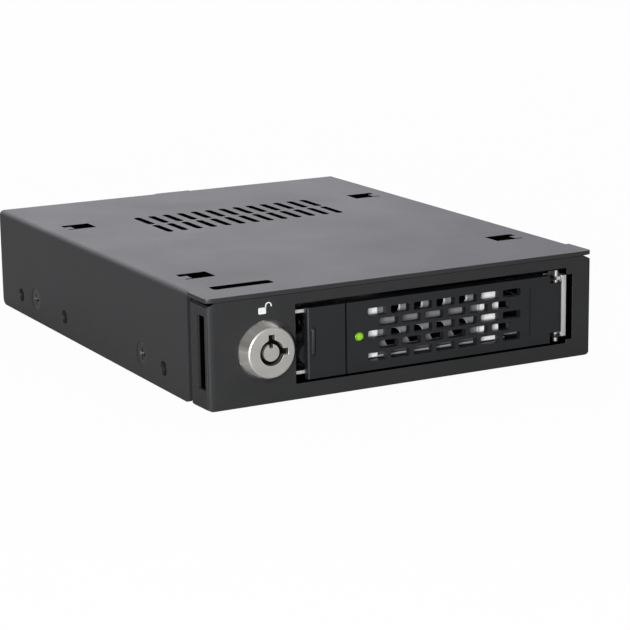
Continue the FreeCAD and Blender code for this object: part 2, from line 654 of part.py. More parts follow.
def make_base_chassis():
    body = new_body("base_chassis")
    inner = "chassis_side - gauge"
    pad(body, "pan", "y", "bezel_depth", "depth", [
        ("-chassis_side", "flange_height"), ("-chassis_side", "0", "bend"),
        ("chassis_side", "0", "bend"), ("chassis_side", "flange_height"),
        (inner, "flange_height"), (inner, "gauge", "bend - gauge"),
        ("-(%s)" % inner, "gauge", "bend - gauge"), ("-(%s)" % inner, "flange_height"),
    ])
    wall_side = "chassis_side - gauge / 2"
    wall_top = "bezel_top - fit_gap"
    pad(body, "front_ears", "y", "bezel_depth", "ear_back",
        box("-(%s)" % wall_side, "gauge / 2", "opening_left - ear_gap", wall_top),
        box("opening_right + ear_gap_right", "gauge / 2", wall_side, wall_top))
    pad(body, "rear_wall", "y", "depth - gauge", "depth",
        box("-(%s)" % wall_side, "gauge / 2", wall_side, wall_top))
    board_back = "board_front + board_gauge"
    pad(body, "board_lugs", "y", board_back, board_back + " + gauge",
        *[box("%s - board_lug_width / 2" % x, "gauge / 2", "%s + board_lug_width / 2" % x,
              "board_screw_z + board_lug_width / 2") for x in BOARD_SCREWS])
    cut(body, "lug_holes", "y", board_back + " - " + PAST, board_back + " + gauge + " + PAST,
        *[(x, "board_screw_z", "board_screw_shaft + run_gap") for x in BOARD_SCREWS])
    cut(body, "ear_holes", "y", "bezel_depth - " + PAST, "ear_back + " + PAST,
        ("lock_x", "lock_z", "barrel_radius + fit_gap"),
        *discs(BEZEL_SCREWS, "bezel_screw_shaft + fit_gap"))
    cut(body, "side_holes", "x", "-width / 2", "width / 2",
        *discs(MOUNT_HOLES, "mount_thread"), *discs(COVER_SCREWS, "cover_screw_shaft + run_gap"))
    cut(body, "guide_holes", "z", "-" + PAST, "gauge + " + PAST,
        *discs(GUIDE_SCREWS, "guide_screw_shaft + run_gap"))
    for i, (x, y) in enumerate(GUIDE_SCREWS):
        countersink(body, "guide_sink%d" % i, (x, y, "0"), (0, 0, 1),
                    "guide_screw_head + run_gap", "guide_screw_shaft + run_gap")
    cut(body, "port_windows", "y", "depth - gauge - " + PAST, "depth + " + PAST,
        centred("data_x", "port_z", "data_width + 4 * fit_gap", "port_height + 4 * fit_gap"),
        centred("power_x", "port_z", "power_width + 4 * fit_gap", "port_height + 4 * fit_gap"))
    first = "-vent_pitch * %d / 2" % (VENT_COLUMNS - 1)
    slot = cut(body, "rear_vent", "y", "depth - gauge - " + PAST, "depth + " + PAST,
               box(first + " - vent_radius", "port_z + port_height", first + " + vent_radius",
                   "bezel_top - 2 * gauge", "vent_radius * 0.9"))
    repeat(body, "rear_vents", slot, "x", VENT_COLUMNS, "vent_pitch")


def make_front_bezel():
    body = new_body("front_bezel")
    side, top, edge, foot = "bezel_side", "bezel_top", "bezel_chamfer", "bezel_foot"
    pad(body, "block", "y", "0", "bezel_depth", [
        ("-%s + %s" % (side, foot), "0"), ("%s - %s" % (side, foot), "0"), (side, foot),
        (side, "%s - %s" % (top, edge)), ("%s - %s" % (side, edge), top),
        ("-%s + %s" % (side, edge), top), ("-" + side, "%s - %s" % (top, edge)), ("-" + side, foot),
    ])
    fillet(body, "front_edges", "corner_round",
           lambda spot, way: abs(spot.x) > size(side) - 0.01 and near(spot.y, "0") and abs(way.z) > 0.9)
    jamb = "opening_right - notch_width"
    cut(body, "opening", "y", "-" + PAST, "bezel_depth + " + PAST, [
        ("opening_left", "opening_low"), (jamb, "opening_low"), (jamb, "notch_low"),
        ("opening_right", "notch_low"), ("opening_right", "notch_high"), (jamb, "notch_high"),
        (jamb, "opening_high"), ("opening_left", "opening_high"),
    ])
    left, right = "-%s + bezel_rim" % side, "opening_left - bezel_rim"
    low, high = "bezel_rim", "%s - bezel_rim" % top
    cut(body, "cavity", "y", "bezel_wall", "bezel_depth + " + PAST, [
        (left + " + boss_block", low), (right, low), (right, high), (left + " + boss_block", high),
        (left + " + boss_block", high + " - boss_block"), (left, high + " - boss_block"),
        (left, low + " + boss_block"), (left + " + boss_block", low + " + boss_block"),
    ])
    pad(body, "lock_boss", "y", "bezel_wall / 2", "bezel_depth", ("lock_x", "lock_z", "boss_radius"))
    cut(body, "lock_hole", "y", "-" + PAST, "bezel_depth + " + PAST,
        ("lock_x", "lock_z", "barrel_radius + fit_gap"))
    slot = box("side_slot_front", "side_slot_low", "side_slot_back", "side_slot_high")
    cut(body, "left_slot", "x", "-%s - %s" % (side, PAST), left + " + " + PAST, slot)
    cut(body, "right_slot", "x", "%s - bezel_rim / 2" % side, "%s + %s" % (side, PAST), slot)
    hole_front = "ear_back - bezel_screw_length - " + PAST
    cut(body, "screw_holes", "y", hole_front, "bezel_depth + " + PAST,
        *discs(BEZEL_SCREWS, "bezel_screw_shaft + run_gap"))


def make_screws():
    cover = flat_screw("cover_screw_head", "cover_screw_shaft", "cover_screw_length", "cover_screw_sink")
    add_group("cover_screws", [
        turned(cover, ("%d * width / 2" % side, y, z), (-side, 0, 0))
        for side in (-1, 1) for y, z in COVER_SCREWS])
    bezel = pan_screw("bezel_screw_head", "bezel_screw_shaft * 1.2", "bezel_screw_shaft",
                      "bezel_screw_length")
    add_group("bezel_screws", [
        turned(bezel, (x, "ear_back", z), (0, -1, 0)) for x, z in BEZEL_SCREWS])
    guide = flat_screw("guide_screw_head", "guide_screw_shaft", "tray_floor - slide_gap - fit_gap * 5")
    add_group("guide_screws", [turned(guide, (x, y, "0"), (0, 0, 1)) for x, y in GUIDE_SCREWS])
    board = pan_screw("board_screw_head", "board_screw_shaft", "board_screw_shaft", "board_gauge + gauge")
    add_group("board_screws", [
        turned(board, (x, "board_front", "board_screw_z"), (0, 1, 0)) for x in BOARD_SCREWS])
    grip = "plate_gauge + tray_gauge"
    rivet = [("0", "-rivet_crown"), ("rivet_head * 0.6", "-rivet_crown"), ("rivet_head", "0"),
             ("rivet_shaft", "0"), ("rivet_shaft", grip), ("0", grip)]
    add_group("plate_rivets", [
        turned(rivet, (x, "rivet_y", "floor_top + plate_gauge"), (0, 0, -1)) for x in RIVETS])


def make_tray_guide(label, side):
    """L-shaped moulded rail that carries one edge of the tray."""
    body = new_body(label)

    def across(text):
        return "tray_offset + %d * (%s)" % (side, text)

    outer = "tray_half + slide_gap + guide_wall"
    pad(body, "rail", "y", "guide_front", "guide_front + guide_length", [
        (across(outer), "gauge"), (across("tray_half - guide_ledge"), "gauge"),
        (across("tray_half - guide_ledge"), "tray_floor - slide_gap"),
        (across("tray_half + slide_gap"), "tray_floor - slide_gap"),
        (across("tray_half + slide_gap"), "guide_high"), (across(outer), "guide_high"),
    ])
    rib = pad(body, "rib", "y", "guide_front + guide_rib_pitch * 0.6",
              "guide_front + guide_rib_pitch * 0.6 + guide_wall",
              [(across(outer), "gauge"), (across(outer + " + guide_rib"), "gauge"),
               (across(outer + " + guide_rib"), "guide_high - 2 * guide_wall"),
               (across(outer), "guide_high - guide_wall")])
    repeat(body, "ribs", rib, "y", GUIDE_RIBS, "guide_rib_pitch")
    screws = [spot for spot in GUIDE_SCREWS if ("%d *" % side) in spot[0]]
    cut(body, "screw_holes", "z", "gauge - " + PAST, "tray_floor - slide_gap - fit_gap * 2",
        *discs(screws, "guide_screw_shaft + run_gap"))


# Lock

def make_lock():
    shell = new_body("lock_housing", "lock_x", "0", "lock_z")
    turn(shell, "shell", [
        ("keyway_radius", "-lock_reach"), ("lock_face - lock_edge", "-lock_reach"),
        ("lock_face", "-lock_reach + lock_edge"), ("lock_head", "-lock_edge"), ("lock_head", "0"),
        ("barrel_radius", "0"), ("barrel_radius", "barrel_length"),
        ("plug_radius + run_gap", "barrel_length"), ("plug_radius + run_gap", "keyway_floor"),
        ("keyway_radius", "keyway_floor"),
    ])
    reach = "keyway_radius + keyway_notch_depth"
    cut(shell, "notches", "y", "-lock_reach - " + PAST, "keyway_floor - " + PAST,
        box("-keyway_notch / 2", "keyway_radius / 2", "keyway_notch / 2", reach),
        box("keyway_radius / 2", "-keyway_notch / 2", reach, "keyway_notch / 2"))

    nut = new_body("lock_nut", "lock_x", "ear_back", "lock_z")
    corners = [("nut_across / 2 * %d" % u, "nut_across / 2 / sqrt(3) * %d" % v)
               for u, v in ((1, -1), (1, 1), (0, 2), (-1, 1), (-1, -1), (0, -2))]
    pad(nut, "hexagon", "y", "0", "nut_height", corners)
    cut(nut, "thread", "y", "-" + PAST, "nut_height + " + PAST, ("0", "0", "barrel_radius + run_gap"))

    plug = new_body("lock_plug", "lock_x", "0", "lock_z")
    plug_front = "keyway_floor + run_gap"
    turn(plug, "core", [
        ("0", "-lock_reach + post_sink"), ("post_radius", "-lock_reach + post_sink"),
        ("post_radius", plug_front), ("plug_radius", plug_front),
        ("plug_radius", "barrel_length + slide_gap"),
        ("0", "barrel_length + slide_gap"),
    ])
    pad(plug, "tail", "y", "barrel_length", "cam_back", centred("0", "0", "tail_side", "tail_side"))
    cut(plug, "post_slot", "y", "-lock_reach - " + PAST, "keyway_floor",
        box("-post_notch / 2", "post_radius - post_notch_depth", "post_notch / 2", "post_radius + " + PAST))
    cut(plug, "screw_hole", "y", "cam_back - cam_screw_length - " + PAST, "cam_back + " + PAST,
        ("0", "0", "cam_screw_shaft + run_gap"))
    ring = "(post_radius + keyway_radius) / 2"
    bore = cut(plug, "tumbler_hole", "y", plug_front + " - " + PAST, plug_front + " + tumbler_length",
               ("0", ring, "tumbler_radius + run_gap"))
    holes = plug.newObject("PartDesign::PolarPattern", "tumbler_holes")
    holes.Originals = [bore]
    holes.Axis = (origin_item(plug, "Y_Axis"), [""])
    holes.Angle = 360
    holes.Occurrences = TUMBLERS
    plug.Tip = holes
    doc.recompute()

    pins = []
    for i in range(TUMBLERS):
        pin = Part.makeCylinder(size("tumbler_radius"), size("tumbler_length"),
                                App.Vector(0, size(plug_front), size(ring)), App.Vector(0, 1, 0))
        pin.rotate(App.Vector(), App.Vector(0, 1, 0), 360 * i / TUMBLERS)
        pin.translate(App.Vector(size("lock_x"), 0, size("lock_z")))
        pins.append(pin)
    add_group("lock_pins", pins)

    cam = new_body("lock_cam", "lock_x", "0", "lock_z")
    pad(cam, "lever", "y", "cam_front", "cam_back",
        box("-cam_half", "-cam_half - tail_side / 4", "cam_half", "cam_reach", "cam_half * 0.9"))
    cut(cam, "square_hole", "y", "cam_front - " + PAST, "cam_back + " + PAST,
        centred("0", "0", "tail_side + 2 * run_gap", "tail_side + 2 * run_gap"))

    screw = pan_screw("cam_screw_head", "cam_screw_shaft", "cam_screw_shaft", "cam_screw_length")
    add_group("cam_screw", [turned(screw, ("lock_x", "cam_back", "lock_z"), (0, -1, 0))])


# Tray

def make_tray_frame():
    body = new_body("tray_frame")
    tongue = "plate_width / 2 + 2 * tray_gauge"
    pad(body, "floor", "z", "tray_floor", "floor_top", [
        ("tray_left", "floor_front"), ("tray_offset - (%s)" % tongue, "floor_front"),
        ("tray_offset - (%s)" % tongue, "plate_front - fit_gap"),
        ("tray_offset + %s" % tongue, "plate_front - fit_gap"),
        ("tray_offset + %s" % tongue, "floor_front"),
        ("tray_right", "floor_front"), ("tray_right", "tray_back"), ("tray_left", "tray_back"),
    ])
    for name, left, front in (("left", "tray_left", "lug_front"),
                              ("right", "tray_right - tray_gauge", "cheek_front")):
        pad(body, name + "_wall", "x", left, left + " + tray_gauge", [
            (front, "cheek_low"), ("floor_front", "cheek_low"), ("floor_front", "tray_floor"),
            ("tray_back", "tray_floor"), ("tray_back", "wall_top"), ("cheek_back", "wall_top"),
            ("cheek_back", "cheek_high"), (front, "cheek_high"),
        ])
    for name, low in (("low", "cheek_low"), ("high", "cheek_high - tray_gauge")):
        pad(body, "lugs_" + name, "z", low, low + " + tray_gauge",
            box("tray_left + tray_gauge / 2", "lug_front", "latch_right - 2 * slide_gap", "lug_back"), [
                ("tray_right - tray_gauge / 2", "lug_back"), ("pin_x - lug_reach", "lug_back"),
                ("pin_x - lug_reach", "pin_y - lug_reach", "lug_reach * 0.6"),
                ("pin_x + lug_reach", "pin_y - lug_reach", "lug_reach * 0.6"),
                ("pin_x + lug_reach", "pin_y"), ("tray_right - tray_gauge / 2", "pin_y"),
            ])
    cut(body, "pin_holes", "z", "cheek_low - " + PAST, "cheek_high + " + PAST,
        ("pin_x", "pin_y", "pin_radius"))
    cut(body, "cheek_recess", "x", "tray_left - " + PAST, "tray_left + tray_gauge + " + PAST,
        box("lug_front - " + PAST, "cheek_low + tray_gauge", "spring_y - spring_radius - spring_wire",
            "cheek_high - tray_gauge"))
    reach = "nose_radius + slide_gap"
    cut(body, "nose_notch", "x", "tray_left - " + PAST, "tray_left + tray_gauge + " + PAST,
        box("cheek_front - " + PAST, "nose_z - (%s)" % reach, "door_back + nose_depth + 2 * slide_gap",
            "spring_z - spring_radius - 3 * spring_wire"))
    middle = "(floor_front + tray_back) / 2"
    low, high = "tray_floor - " + PAST, "floor_top + " + PAST
    cut(body, "floor_windows", "z", low, high, *[
        centred("tray_offset", "(%s + %d * (tray_window_length / 2 + 5 * tray_gauge))" % (middle, way),
                "tray_window_width", "tray_window_length", "3 * tray_gauge") for way in (-1, 1)])
    rear = "tray_back + 2 * tray_gauge - drive_hole_back"
    cut(body, "drive_holes", "z", low, high, *[
        ("tray_offset + %d * drive_hole_span / 2" % side, "%s - %s" % (rear, step), "drive_hole_radius")
        for side in (-1, 1) for step in ("0", "drive_hole_length")])
    cut(body, "rivet_holes", "z", low, high, *[(x, "rivet_y", "rivet_shaft + run_gap") for x in RIVETS])


def make_front_plate():
    """Bright perforated sheet that stands behind the door."""
    body = new_body("tray_front_plate")
    back = "plate_front + plate_gauge"
    left, right = "tray_offset - plate_width / 2", "tray_offset + plate_width / 2"
    raised = "plate_front - plate_step"
    inner_left, inner_right = left + " + plate_margin", right + " - plate_margin"
    outer_left, outer_right = inner_left + " - plate_gauge", inner_right + " + plate_gauge"
    pad(body, "sheet", "z", "floor_top", "plate_high", [
        (left, raised), (inner_left, raised), (inner_left, "plate_front"), (inner_right, "plate_front"),
        (inner_right, raised), (right, raised), (right, raised + " + plate_gauge"),
        (outer_right, raised + " + plate_gauge"), (outer_right, back), (outer_left, back),
        (outer_left, raised + " + plate_gauge"), (left, raised + " + plate_gauge"),
    ])
    pad(body, "foot", "z", "floor_top", "floor_top + plate_gauge",
        box(outer_left, "plate_front", outer_right, back + " + plate_foot"))
    cut(body, "rivet_holes", "z", "floor_top - " + PAST, "floor_top + plate_gauge + " + PAST,
        *[(x, "rivet_y", "rivet_shaft + run_gap") for x in RIVETS])
    first = "tray_offset - grille_pitch * %d / 2" % (PLATE_COLUMNS - 1)
    holes = cut(body, "air_hole", "y", "plate_front - " + PAST, back + " + " + PAST,
                *[(first, "plate_middle + %d * plate_row_pitch / 2" % way, "plate_hole") for way in (-1, 1)])
    repeat(body, "air_holes", holes, "x", PLATE_COLUMNS, "grille_pitch")


def make_light_pipe():
    """Clear bar that brings the status light from the backplane to the door."""
    body = new_body("light_pipe")
    left, right = "led_x - pipe_width / 2", "led_x + pipe_width / 2"
    cross = "(floor_front + pipe_cross)"
    bevel = "pipe_cross * 0.6"
    pad(body, "bar", "z", "wall_top", "wall_top + pipe_height", [
        (left, "pipe_front"), (right, "pipe_front"), (right, cross + " - " + bevel),
        (right + " - " + bevel, cross),
        ("tray_left + tray_gauge", cross), ("tray_left + tray_gauge", "board_front - pipe_cross"),
        ("tray_left", "board_front - pipe_cross"), ("tray_left", "floor_front + " + bevel),
        ("tray_left + " + bevel, "floor_front"), (left, "floor_front"),
    ])


def make_hinge_pin():
    pin = doc.addObject("Part::Cylinder", "hinge_pin")
    pin.Label = "hinge_pin"
    bind(pin, "Radius", "pin_radius")
    bind(pin, "Height", "pin_high - pin_low")
    place(pin, "pin_x", "pin_y", "pin_low")
    nodes.append(pin)


# Door

def make_door():
    body = new_body("door_panel")
    notch = "pin_x - door_notch"
    pad(body, "panel", "y", "door_face", "door_back", [
        ("door_left", "door_low"), (notch, "door_low"), (notch, "knuckle_low"), ("pin_x", "knuckle_low"),
        ("pin_x", "knuckle_high"), (notch, "knuckle_high"), (notch, "door_high"), ("door_left", "door_high"),
    ])
    end = notch + " - rib_width"
    pad(body, "ribs", "y", "door_back", "door_back + rib_depth", [
        ("door_left", "door_low"), (end, "door_low"), (end, "door_low + rib_width"),
        ("door_left + rib_width", "door_low + rib_width"), ("door_left + rib_width", "door_high - rib_width"),
        (end, "door_high - rib_width"), (end, "door_high"), ("door_left", "door_high"),
    ])
    pad(body, "knuckle", "z", "knuckle_low", "knuckle_high", ("pin_x", "pin_y", "knuckle_radius"))
    cut(body, "pin_hole", "z", "knuckle_low - " + PAST, "knuckle_high + " + PAST,
        ("pin_x", "pin_y", "pin_radius + run_gap"))
    low, high = "door_face - " + PAST, "door_back + " + PAST
    slot_middle = "grille_left + grille_length / 2"
    for name, count, shift, rows in (("long", GRILLE_LONG_ROW, "0", (0, 2, 4)),
                                     ("short", GRILLE_SHORT_ROW, "grille_pitch / 2", (1, 3))):
        slots = cut(body, name + "_row_slots", "y", low, high, *[
            centred("%s + %s" % (slot_middle, shift), "grille_top - %d * grille_row" % row, "grille_length",
                    "grille_height", "grille_round") for row in rows])
        repeat(body, name + "_rows", slots, "x", count, "grille_pitch")
    cut(body, "lens_hole", "y", low, high,
        centred("led_x", "led_z", "led_width + 2 * run_gap", "led_height + 2 * run_gap", "led_height * 0.49"))
    cut(body, "crease", "y", low, "door_face + groove_depth / 2",
        box("crease_x - groove_depth / 2", "door_low + 2 * rib_width", "crease_x + groove_depth / 2",
            "door_high - 2 * rib_width"))

    lens = new_body("led_lens")
    pad(lens, "lens", "y", "door_face", "door_face + lens_depth",
        centred("led_x", "led_z", "led_width", "led_height", "led_height * 0.49"))


# Latch

def make_latch():
    body = new_body("latch_button")
    pad(body, "panel", "y", "door_face", "door_back",
        box("latch_left", "door_low", "latch_right", "door_high"))
    pad(body, "block", "y", "door_back", "block_back",
        box("block_left", "knuckle_low", "latch_right", "knuckle_high"))
    pad(body, "keeper", "y", "block_back", "floor_front - 2 * slide_gap",
        box("block_left", "cheek_low", "latch_right", "cheek_high"))
    tip = "tray_left + latch_travel - slide_gap"
    nose_front = "door_back + slide_gap"
    root, top, under = "block_left + nose_radius", "nose_z + nose_radius", "nose_z - nose_radius"
    pad(body, "nose", "y", nose_front, nose_front + " + nose_depth", [
        (root, top), (tip, top, "nose_radius * 0.98"), (tip, under, "nose_radius * 0.98"), (root, under)])
    cut(body, "spring_seat", "x", "block_left - " + PAST, "tray_left + tray_gauge + spring_length",
        ("spring_y", "spring_z", "spring_radius + 2 * spring_wire"))
    cut(body, "finger_groove", "y", "door_face - " + PAST, "door_face + groove_depth",
        box("groove_x - groove_radius", "groove_low", "groove_x + groove_radius", "groove_high",
            "groove_radius * 0.98"))
    fillet(body, "left_edge", "groove_radius",
           lambda spot, way: near(spot.x, "latch_left") and near(spot.y, "door_face") and abs(way.z) > 0.9)

    wire = size("spring_wire")
    radius = size("spring_radius")
    length = size("spring_length") - 2 * wire
    count = SPRING_TURNS * SPRING_STEPS
    path = []
    for i in range(count + 1):
        angle = 2 * math.pi * i / SPRING_STEPS
        path.append(App.Vector(radius * math.cos(angle), radius * math.sin(angle), length * i / count))
    ring = Part.makeCircle(wire, path[0], path[1] - path[0])
    coil = Part.makePolygon(path).makePipeShell([Part.Wire([ring])], True, False, 1)
    seat = App.Vector(size("tray_left + tray_gauge") + wire, size("spring_y"), size("spring_z"))
    coil.Placement = App.Placement(seat, App.Rotation(App.Vector(0, 0, 1), App.Vector(1, 0, 0)))
    add_group("latch_spring", [coil])


# Backplane

def make_backplane():
    board = new_body("backplane_board")
    pad(board, "board", "y", "board_front", "board_front + board_gauge",
        box("tray_left", "board_low", "tray_right", "board_high"))
    low, high = "board_front - " + PAST, "board_front + board_gauge + " + PAST
    cut(board, "screw_holes", "y", low, high,
        *[(x, "board_screw_z", "board_screw_shaft + run_gap") for x in BOARD_SCREWS])
    first = "tray_offset - vent_pitch * %d / 2" % (VENT_COLUMNS - 1)
    slot = cut(board, "air_slot", "y", low, high,
               box(first + " - vent_radius", "port_z + port_height", first + " + vent_radius",
                   "board_high - 2 * vent_radius", "vent_radius * 0.9"))
    repeat(board, "air_slots", slot, "x", VENT_COLUMNS, "vent_pitch")

    socket = new_body("drive_socket")
    middle = "tray_offset + socket_offset"
    front = "board_front - socket_depth"
    pad(socket, "shell", "y", front, "board_front",
        centred(middle, "socket_z", "socket_width", "socket_height", "socket_height / 6"))
    cut(socket, "slots", "y", front + " - " + PAST, "board_front - socket_depth / 4",
        box("%s - socket_width * 0.42" % middle, "socket_z - socket_height / 8",
            "%s + socket_width * 0.08" % middle, "socket_z + socket_height / 5"),
        box("%s + socket_width * 0.14" % middle, "socket_z - socket_height / 8",
            "%s + socket_width * 0.42" % middle, "socket_z + socket_height / 5"))

    emitter = new_body("status_emitter")
    pad(emitter, "package", "y", "board_front - pipe_cross * 0.7", "board_front",
        centred("tray_left + tray_gauge / 2", "led_z", "tray_gauge", "pipe_height"))

    back = "board_front + board_gauge"
    for label in ("data", "power"):
        middle, across = label + "_x", label + "_width"
        port = new_body(label + "_port")
        pad(port, "shell", "y", back, "depth",
            centred(middle, "port_z", across, "port_height", "port_wall / 2"))
        inner = "%s - 2 * port_wall" % across
        cut(port, "mouth", "y", back + " + 2 * port_wall", "depth + " + PAST,
            centred(middle, "port_z", inner, "port_height - 2 * port_wall"),
            box("%s - (%s) / 2 + port_wall" % (middle, inner), "port_z - port_wall / 2",
                "%s + (%s) / 2 - port_wall" % (middle, inner), "port_z + port_wall / 2"))


def check_and_write():
    """Stop on any failed object, then write one file for each piece."""
    doc.recompute()
    for item in doc.Objects:
        if "Invalid" in item.State or "Error" in item.State:
            raise RuntimeError("%s failed: %s" % (item.Label, item.State))
    for node in nodes:
        shape = node.Shape
        if shape.isNull() or not shape.isValid() or not shape.Solids:
            raise RuntimeError("%s has no valid solid" % node.Label)
    os.makedirs("parts", exist_ok=True)
    for node in nodes:
        node.Shape.exportStep("parts/%s.step" % node.Label)


fill_sheet()
make_top_cover()
make_base_chassis()
make_front_bezel()
make_screws()
make_tray_guide("tray_guide_left", -1)
make_tray_guide("tray_guide_right", 1)
make_lock()
make_tray_frame()
make_front_plate()
make_light_pipe()
make_hinge_pin()
make_door()
make_latch()
make_backplane()
check_and_write()
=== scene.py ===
import json
import math

import bmesh
import bpy
from mathutils import Matrix, Vector

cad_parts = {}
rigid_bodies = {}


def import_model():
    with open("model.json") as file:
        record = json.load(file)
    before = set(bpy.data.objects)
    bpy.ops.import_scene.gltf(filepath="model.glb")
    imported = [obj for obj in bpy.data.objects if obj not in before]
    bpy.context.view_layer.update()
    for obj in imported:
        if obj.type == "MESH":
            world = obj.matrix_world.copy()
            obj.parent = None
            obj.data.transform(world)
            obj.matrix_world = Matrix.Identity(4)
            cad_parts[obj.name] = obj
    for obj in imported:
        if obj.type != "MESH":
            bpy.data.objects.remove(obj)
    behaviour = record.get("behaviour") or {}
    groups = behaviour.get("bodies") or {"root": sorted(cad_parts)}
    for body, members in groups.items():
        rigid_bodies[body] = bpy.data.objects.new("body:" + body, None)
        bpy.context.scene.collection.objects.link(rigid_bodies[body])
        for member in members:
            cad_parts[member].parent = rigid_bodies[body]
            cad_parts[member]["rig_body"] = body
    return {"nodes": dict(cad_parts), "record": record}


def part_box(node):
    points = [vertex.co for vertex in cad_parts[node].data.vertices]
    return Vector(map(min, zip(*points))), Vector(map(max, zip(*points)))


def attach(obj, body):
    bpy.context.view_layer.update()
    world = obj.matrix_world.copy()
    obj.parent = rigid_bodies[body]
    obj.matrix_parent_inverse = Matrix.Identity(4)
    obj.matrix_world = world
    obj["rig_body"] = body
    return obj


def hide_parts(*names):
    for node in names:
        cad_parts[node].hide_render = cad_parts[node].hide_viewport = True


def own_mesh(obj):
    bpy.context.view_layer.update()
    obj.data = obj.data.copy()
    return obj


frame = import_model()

bl_info = {
    "name": "Lockable drive rack",
    "version": (1, 0, 0),
    "blender": (4, 5, 0),
    "location": "3D View > Sidebar > Drive rack",
    "description": "Dresses the drive rack's pieces and sets its studio",
    "category": "Object",
}

# Blender's start-up objects go
for name in ("Cube", "Light", "Camera"):
    if name in bpy.data.objects and name not in frame["nodes"]:
        bpy.data.objects.remove(bpy.data.objects[name])

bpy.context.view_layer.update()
# Lengths are in metres; depths on the front count from the bezel's front face
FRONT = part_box("front_bezel")[0].y
# A vertex nearer than this to a plane lies on it
SNAP = 0.00001
# A vertex off a round by less than this share of its radius lies on it
ROUND_SNAP = 0.03
# Edges that turn by more are rounded, and shaded as sharp
ROUNDED_FROM = math.radians(30)
SHARP_FROM = math.radians(32)
# Stretches of the working lines in metal
LINES_UP = (1.0, 1.0, 0.2)
LINES_BACK = (1.0, 0.2, 1.0)
LINES_ACROSS = (0.4, 1.0, 1.0)


# Settings

class RackFinish(bpy.types.PropertyGroup):
    """Paint, plastic and metal of the rack's pieces."""
    edge: bpy.props.FloatProperty(
        name="Edge rounding", description="Radius of the softened sheet and moulding edges",
        default=0.00018, unit="LENGTH", subtype="DISTANCE")
    cover_colour: bpy.props.FloatVectorProperty(
        name="Cover colour", description="Powder coat of the cover and chassis",
        default=(0.0165, 0.016, 0.0178), subtype="COLOR", size=3)
    bezel_colour: bpy.props.FloatVectorProperty(
        name="Bezel colour", description="Grained moulding of the bezel",
        default=(0.0145, 0.0149, 0.0157), subtype="COLOR", size=3)
    door_colour: bpy.props.FloatVectorProperty(
        name="Door colour", description="Satin moulding of the door and latch",
        default=(0.0095, 0.0102, 0.0118), subtype="COLOR", size=3)
    light_strength: bpy.props.FloatProperty(
        name="Status light", description="Strength of the lit status light", default=0.9)


class RackForm(bpy.types.PropertyGroup):
    """Small shapes that the looks refine on the solids."""
    slot_width: bpy.props.FloatProperty(
        name="Slot width", description="Width of the narrow slot in the cover",
        default=0.0033, unit="LENGTH", subtype="DISTANCE")
    corner_across: bpy.props.FloatProperty(
        name="Corners across", description="Reach of the rounded upright edges across the front",
        default=0.0021, unit="LENGTH", subtype="DISTANCE")
    corner_back: bpy.props.FloatProperty(
        name="Corners back", description="Reach of the rounded upright edges along the sides",
        default=0.0008, unit="LENGTH", subtype="DISTANCE")
    rib: bpy.props.FloatProperty(
        name="Grip rib", description="Height of the grip rib above the latch's face",
        default=0.00025, unit="LENGTH", subtype="DISTANCE")
    seam: bpy.props.FloatProperty(
        name="Seam", description="Width added to the seam between latch and door",
        default=0.0002, unit="LENGTH", subtype="DISTANCE")
    hole: bpy.props.FloatProperty(
        name="Lower holes",
        description="Radius of the lower air holes in the plate behind the door",
        default=0.00225, unit="LENGTH", subtype="DISTANCE")
    hole_rise: bpy.props.FloatProperty(
        name="Hole rise", description="Lift of the lower air holes in the plate behind the door",
        default=0.0003, unit="LENGTH", subtype="DISTANCE")
    slot_edge: bpy.props.FloatProperty(
        name="Side slot", description="Front edge of the bezel's side slots behind its face",
        default=0.00115, unit="LENGTH", subtype="DISTANCE")
    lug: bpy.props.FloatProperty(
        name="Lug thickness", description="Thickness of the tray's guide and hinge lugs",
        default=0.00075, unit="LENGTH", subtype="DISTANCE")


class RackMark(bpy.types.PropertyGroup):
    """Open padlock sign above the lock."""
    side: bpy.props.FloatProperty(
        name="Body width", description="Width of the padlock sign's body",
        default=0.0019, unit="LENGTH", subtype="DISTANCE")
    across: bpy.props.FloatProperty(
        name="Place across", description="Middle of the padlock's body from the rack's middle",
        default=-0.0371, unit="LENGTH", subtype="DISTANCE")
    up: bpy.props.FloatProperty(
        name="Height", description="Middle of the padlock's body above the underside",
        default=0.0213, unit="LENGTH", subtype="DISTANCE")


class RackScrews(bpy.types.PropertyGroup):
    """Cross-head screws in the cover's sides."""
    count: bpy.props.IntProperty(
        name="Screws", description="Screws along each side", default=2)
    pitch: bpy.props.FloatProperty(
        name="Spacing", description="Distance between the screws along a side",
        default=0.0674, unit="LENGTH", subtype="DISTANCE")
    head: bpy.props.FloatProperty(
        name="Head radius", description="Radius of a screw's head",
        default=0.00275, unit="LENGTH", subtype="DISTANCE")


class RackContacts(bpy.types.PropertyGroup):
    """Gilt contacts in the sockets of the backplane."""
    pitch: bpy.props.FloatProperty(
        name="Spacing", description="Distance between neighbouring contacts",
        default=0.00127, unit="LENGTH", subtype="DISTANCE")
    width: bpy.props.FloatProperty(
        name="Width", description="Width of a contact",
        default=0.0008, unit="LENGTH", subtype="DISTANCE")


class RackStudio(bpy.types.PropertyGroup):
    """Camera, floor and lights."""
    lens: bpy.props.FloatProperty(
        name="Lens", description="Focal length on a 36 mm sensor", default=124.32, unit="CAMERA")
    key_power: bpy.props.FloatProperty(
        name="Top light", description="Power of the large light over the rack",
        default=2.6, unit="POWER")
    fill_power: bpy.props.FloatProperty(
        name="Front light", description="Power of the light beside the camera",
        default=3.4, unit="POWER")
    room_strength: bpy.props.FloatProperty(
        name="Room", description="Brightness of the white wall behind the rack", default=1.2)
    front_share: bpy.props.FloatProperty(
        name="Room in front",
        description="Brightness of the room in front, as a share of the wall's", default=0.29)


def finish():
    """The chosen finishes."""
    return bpy.context.scene.rack_finish


def form():
    """The chosen small shapes."""
    return bpy.context.scene.rack_form


# Materials

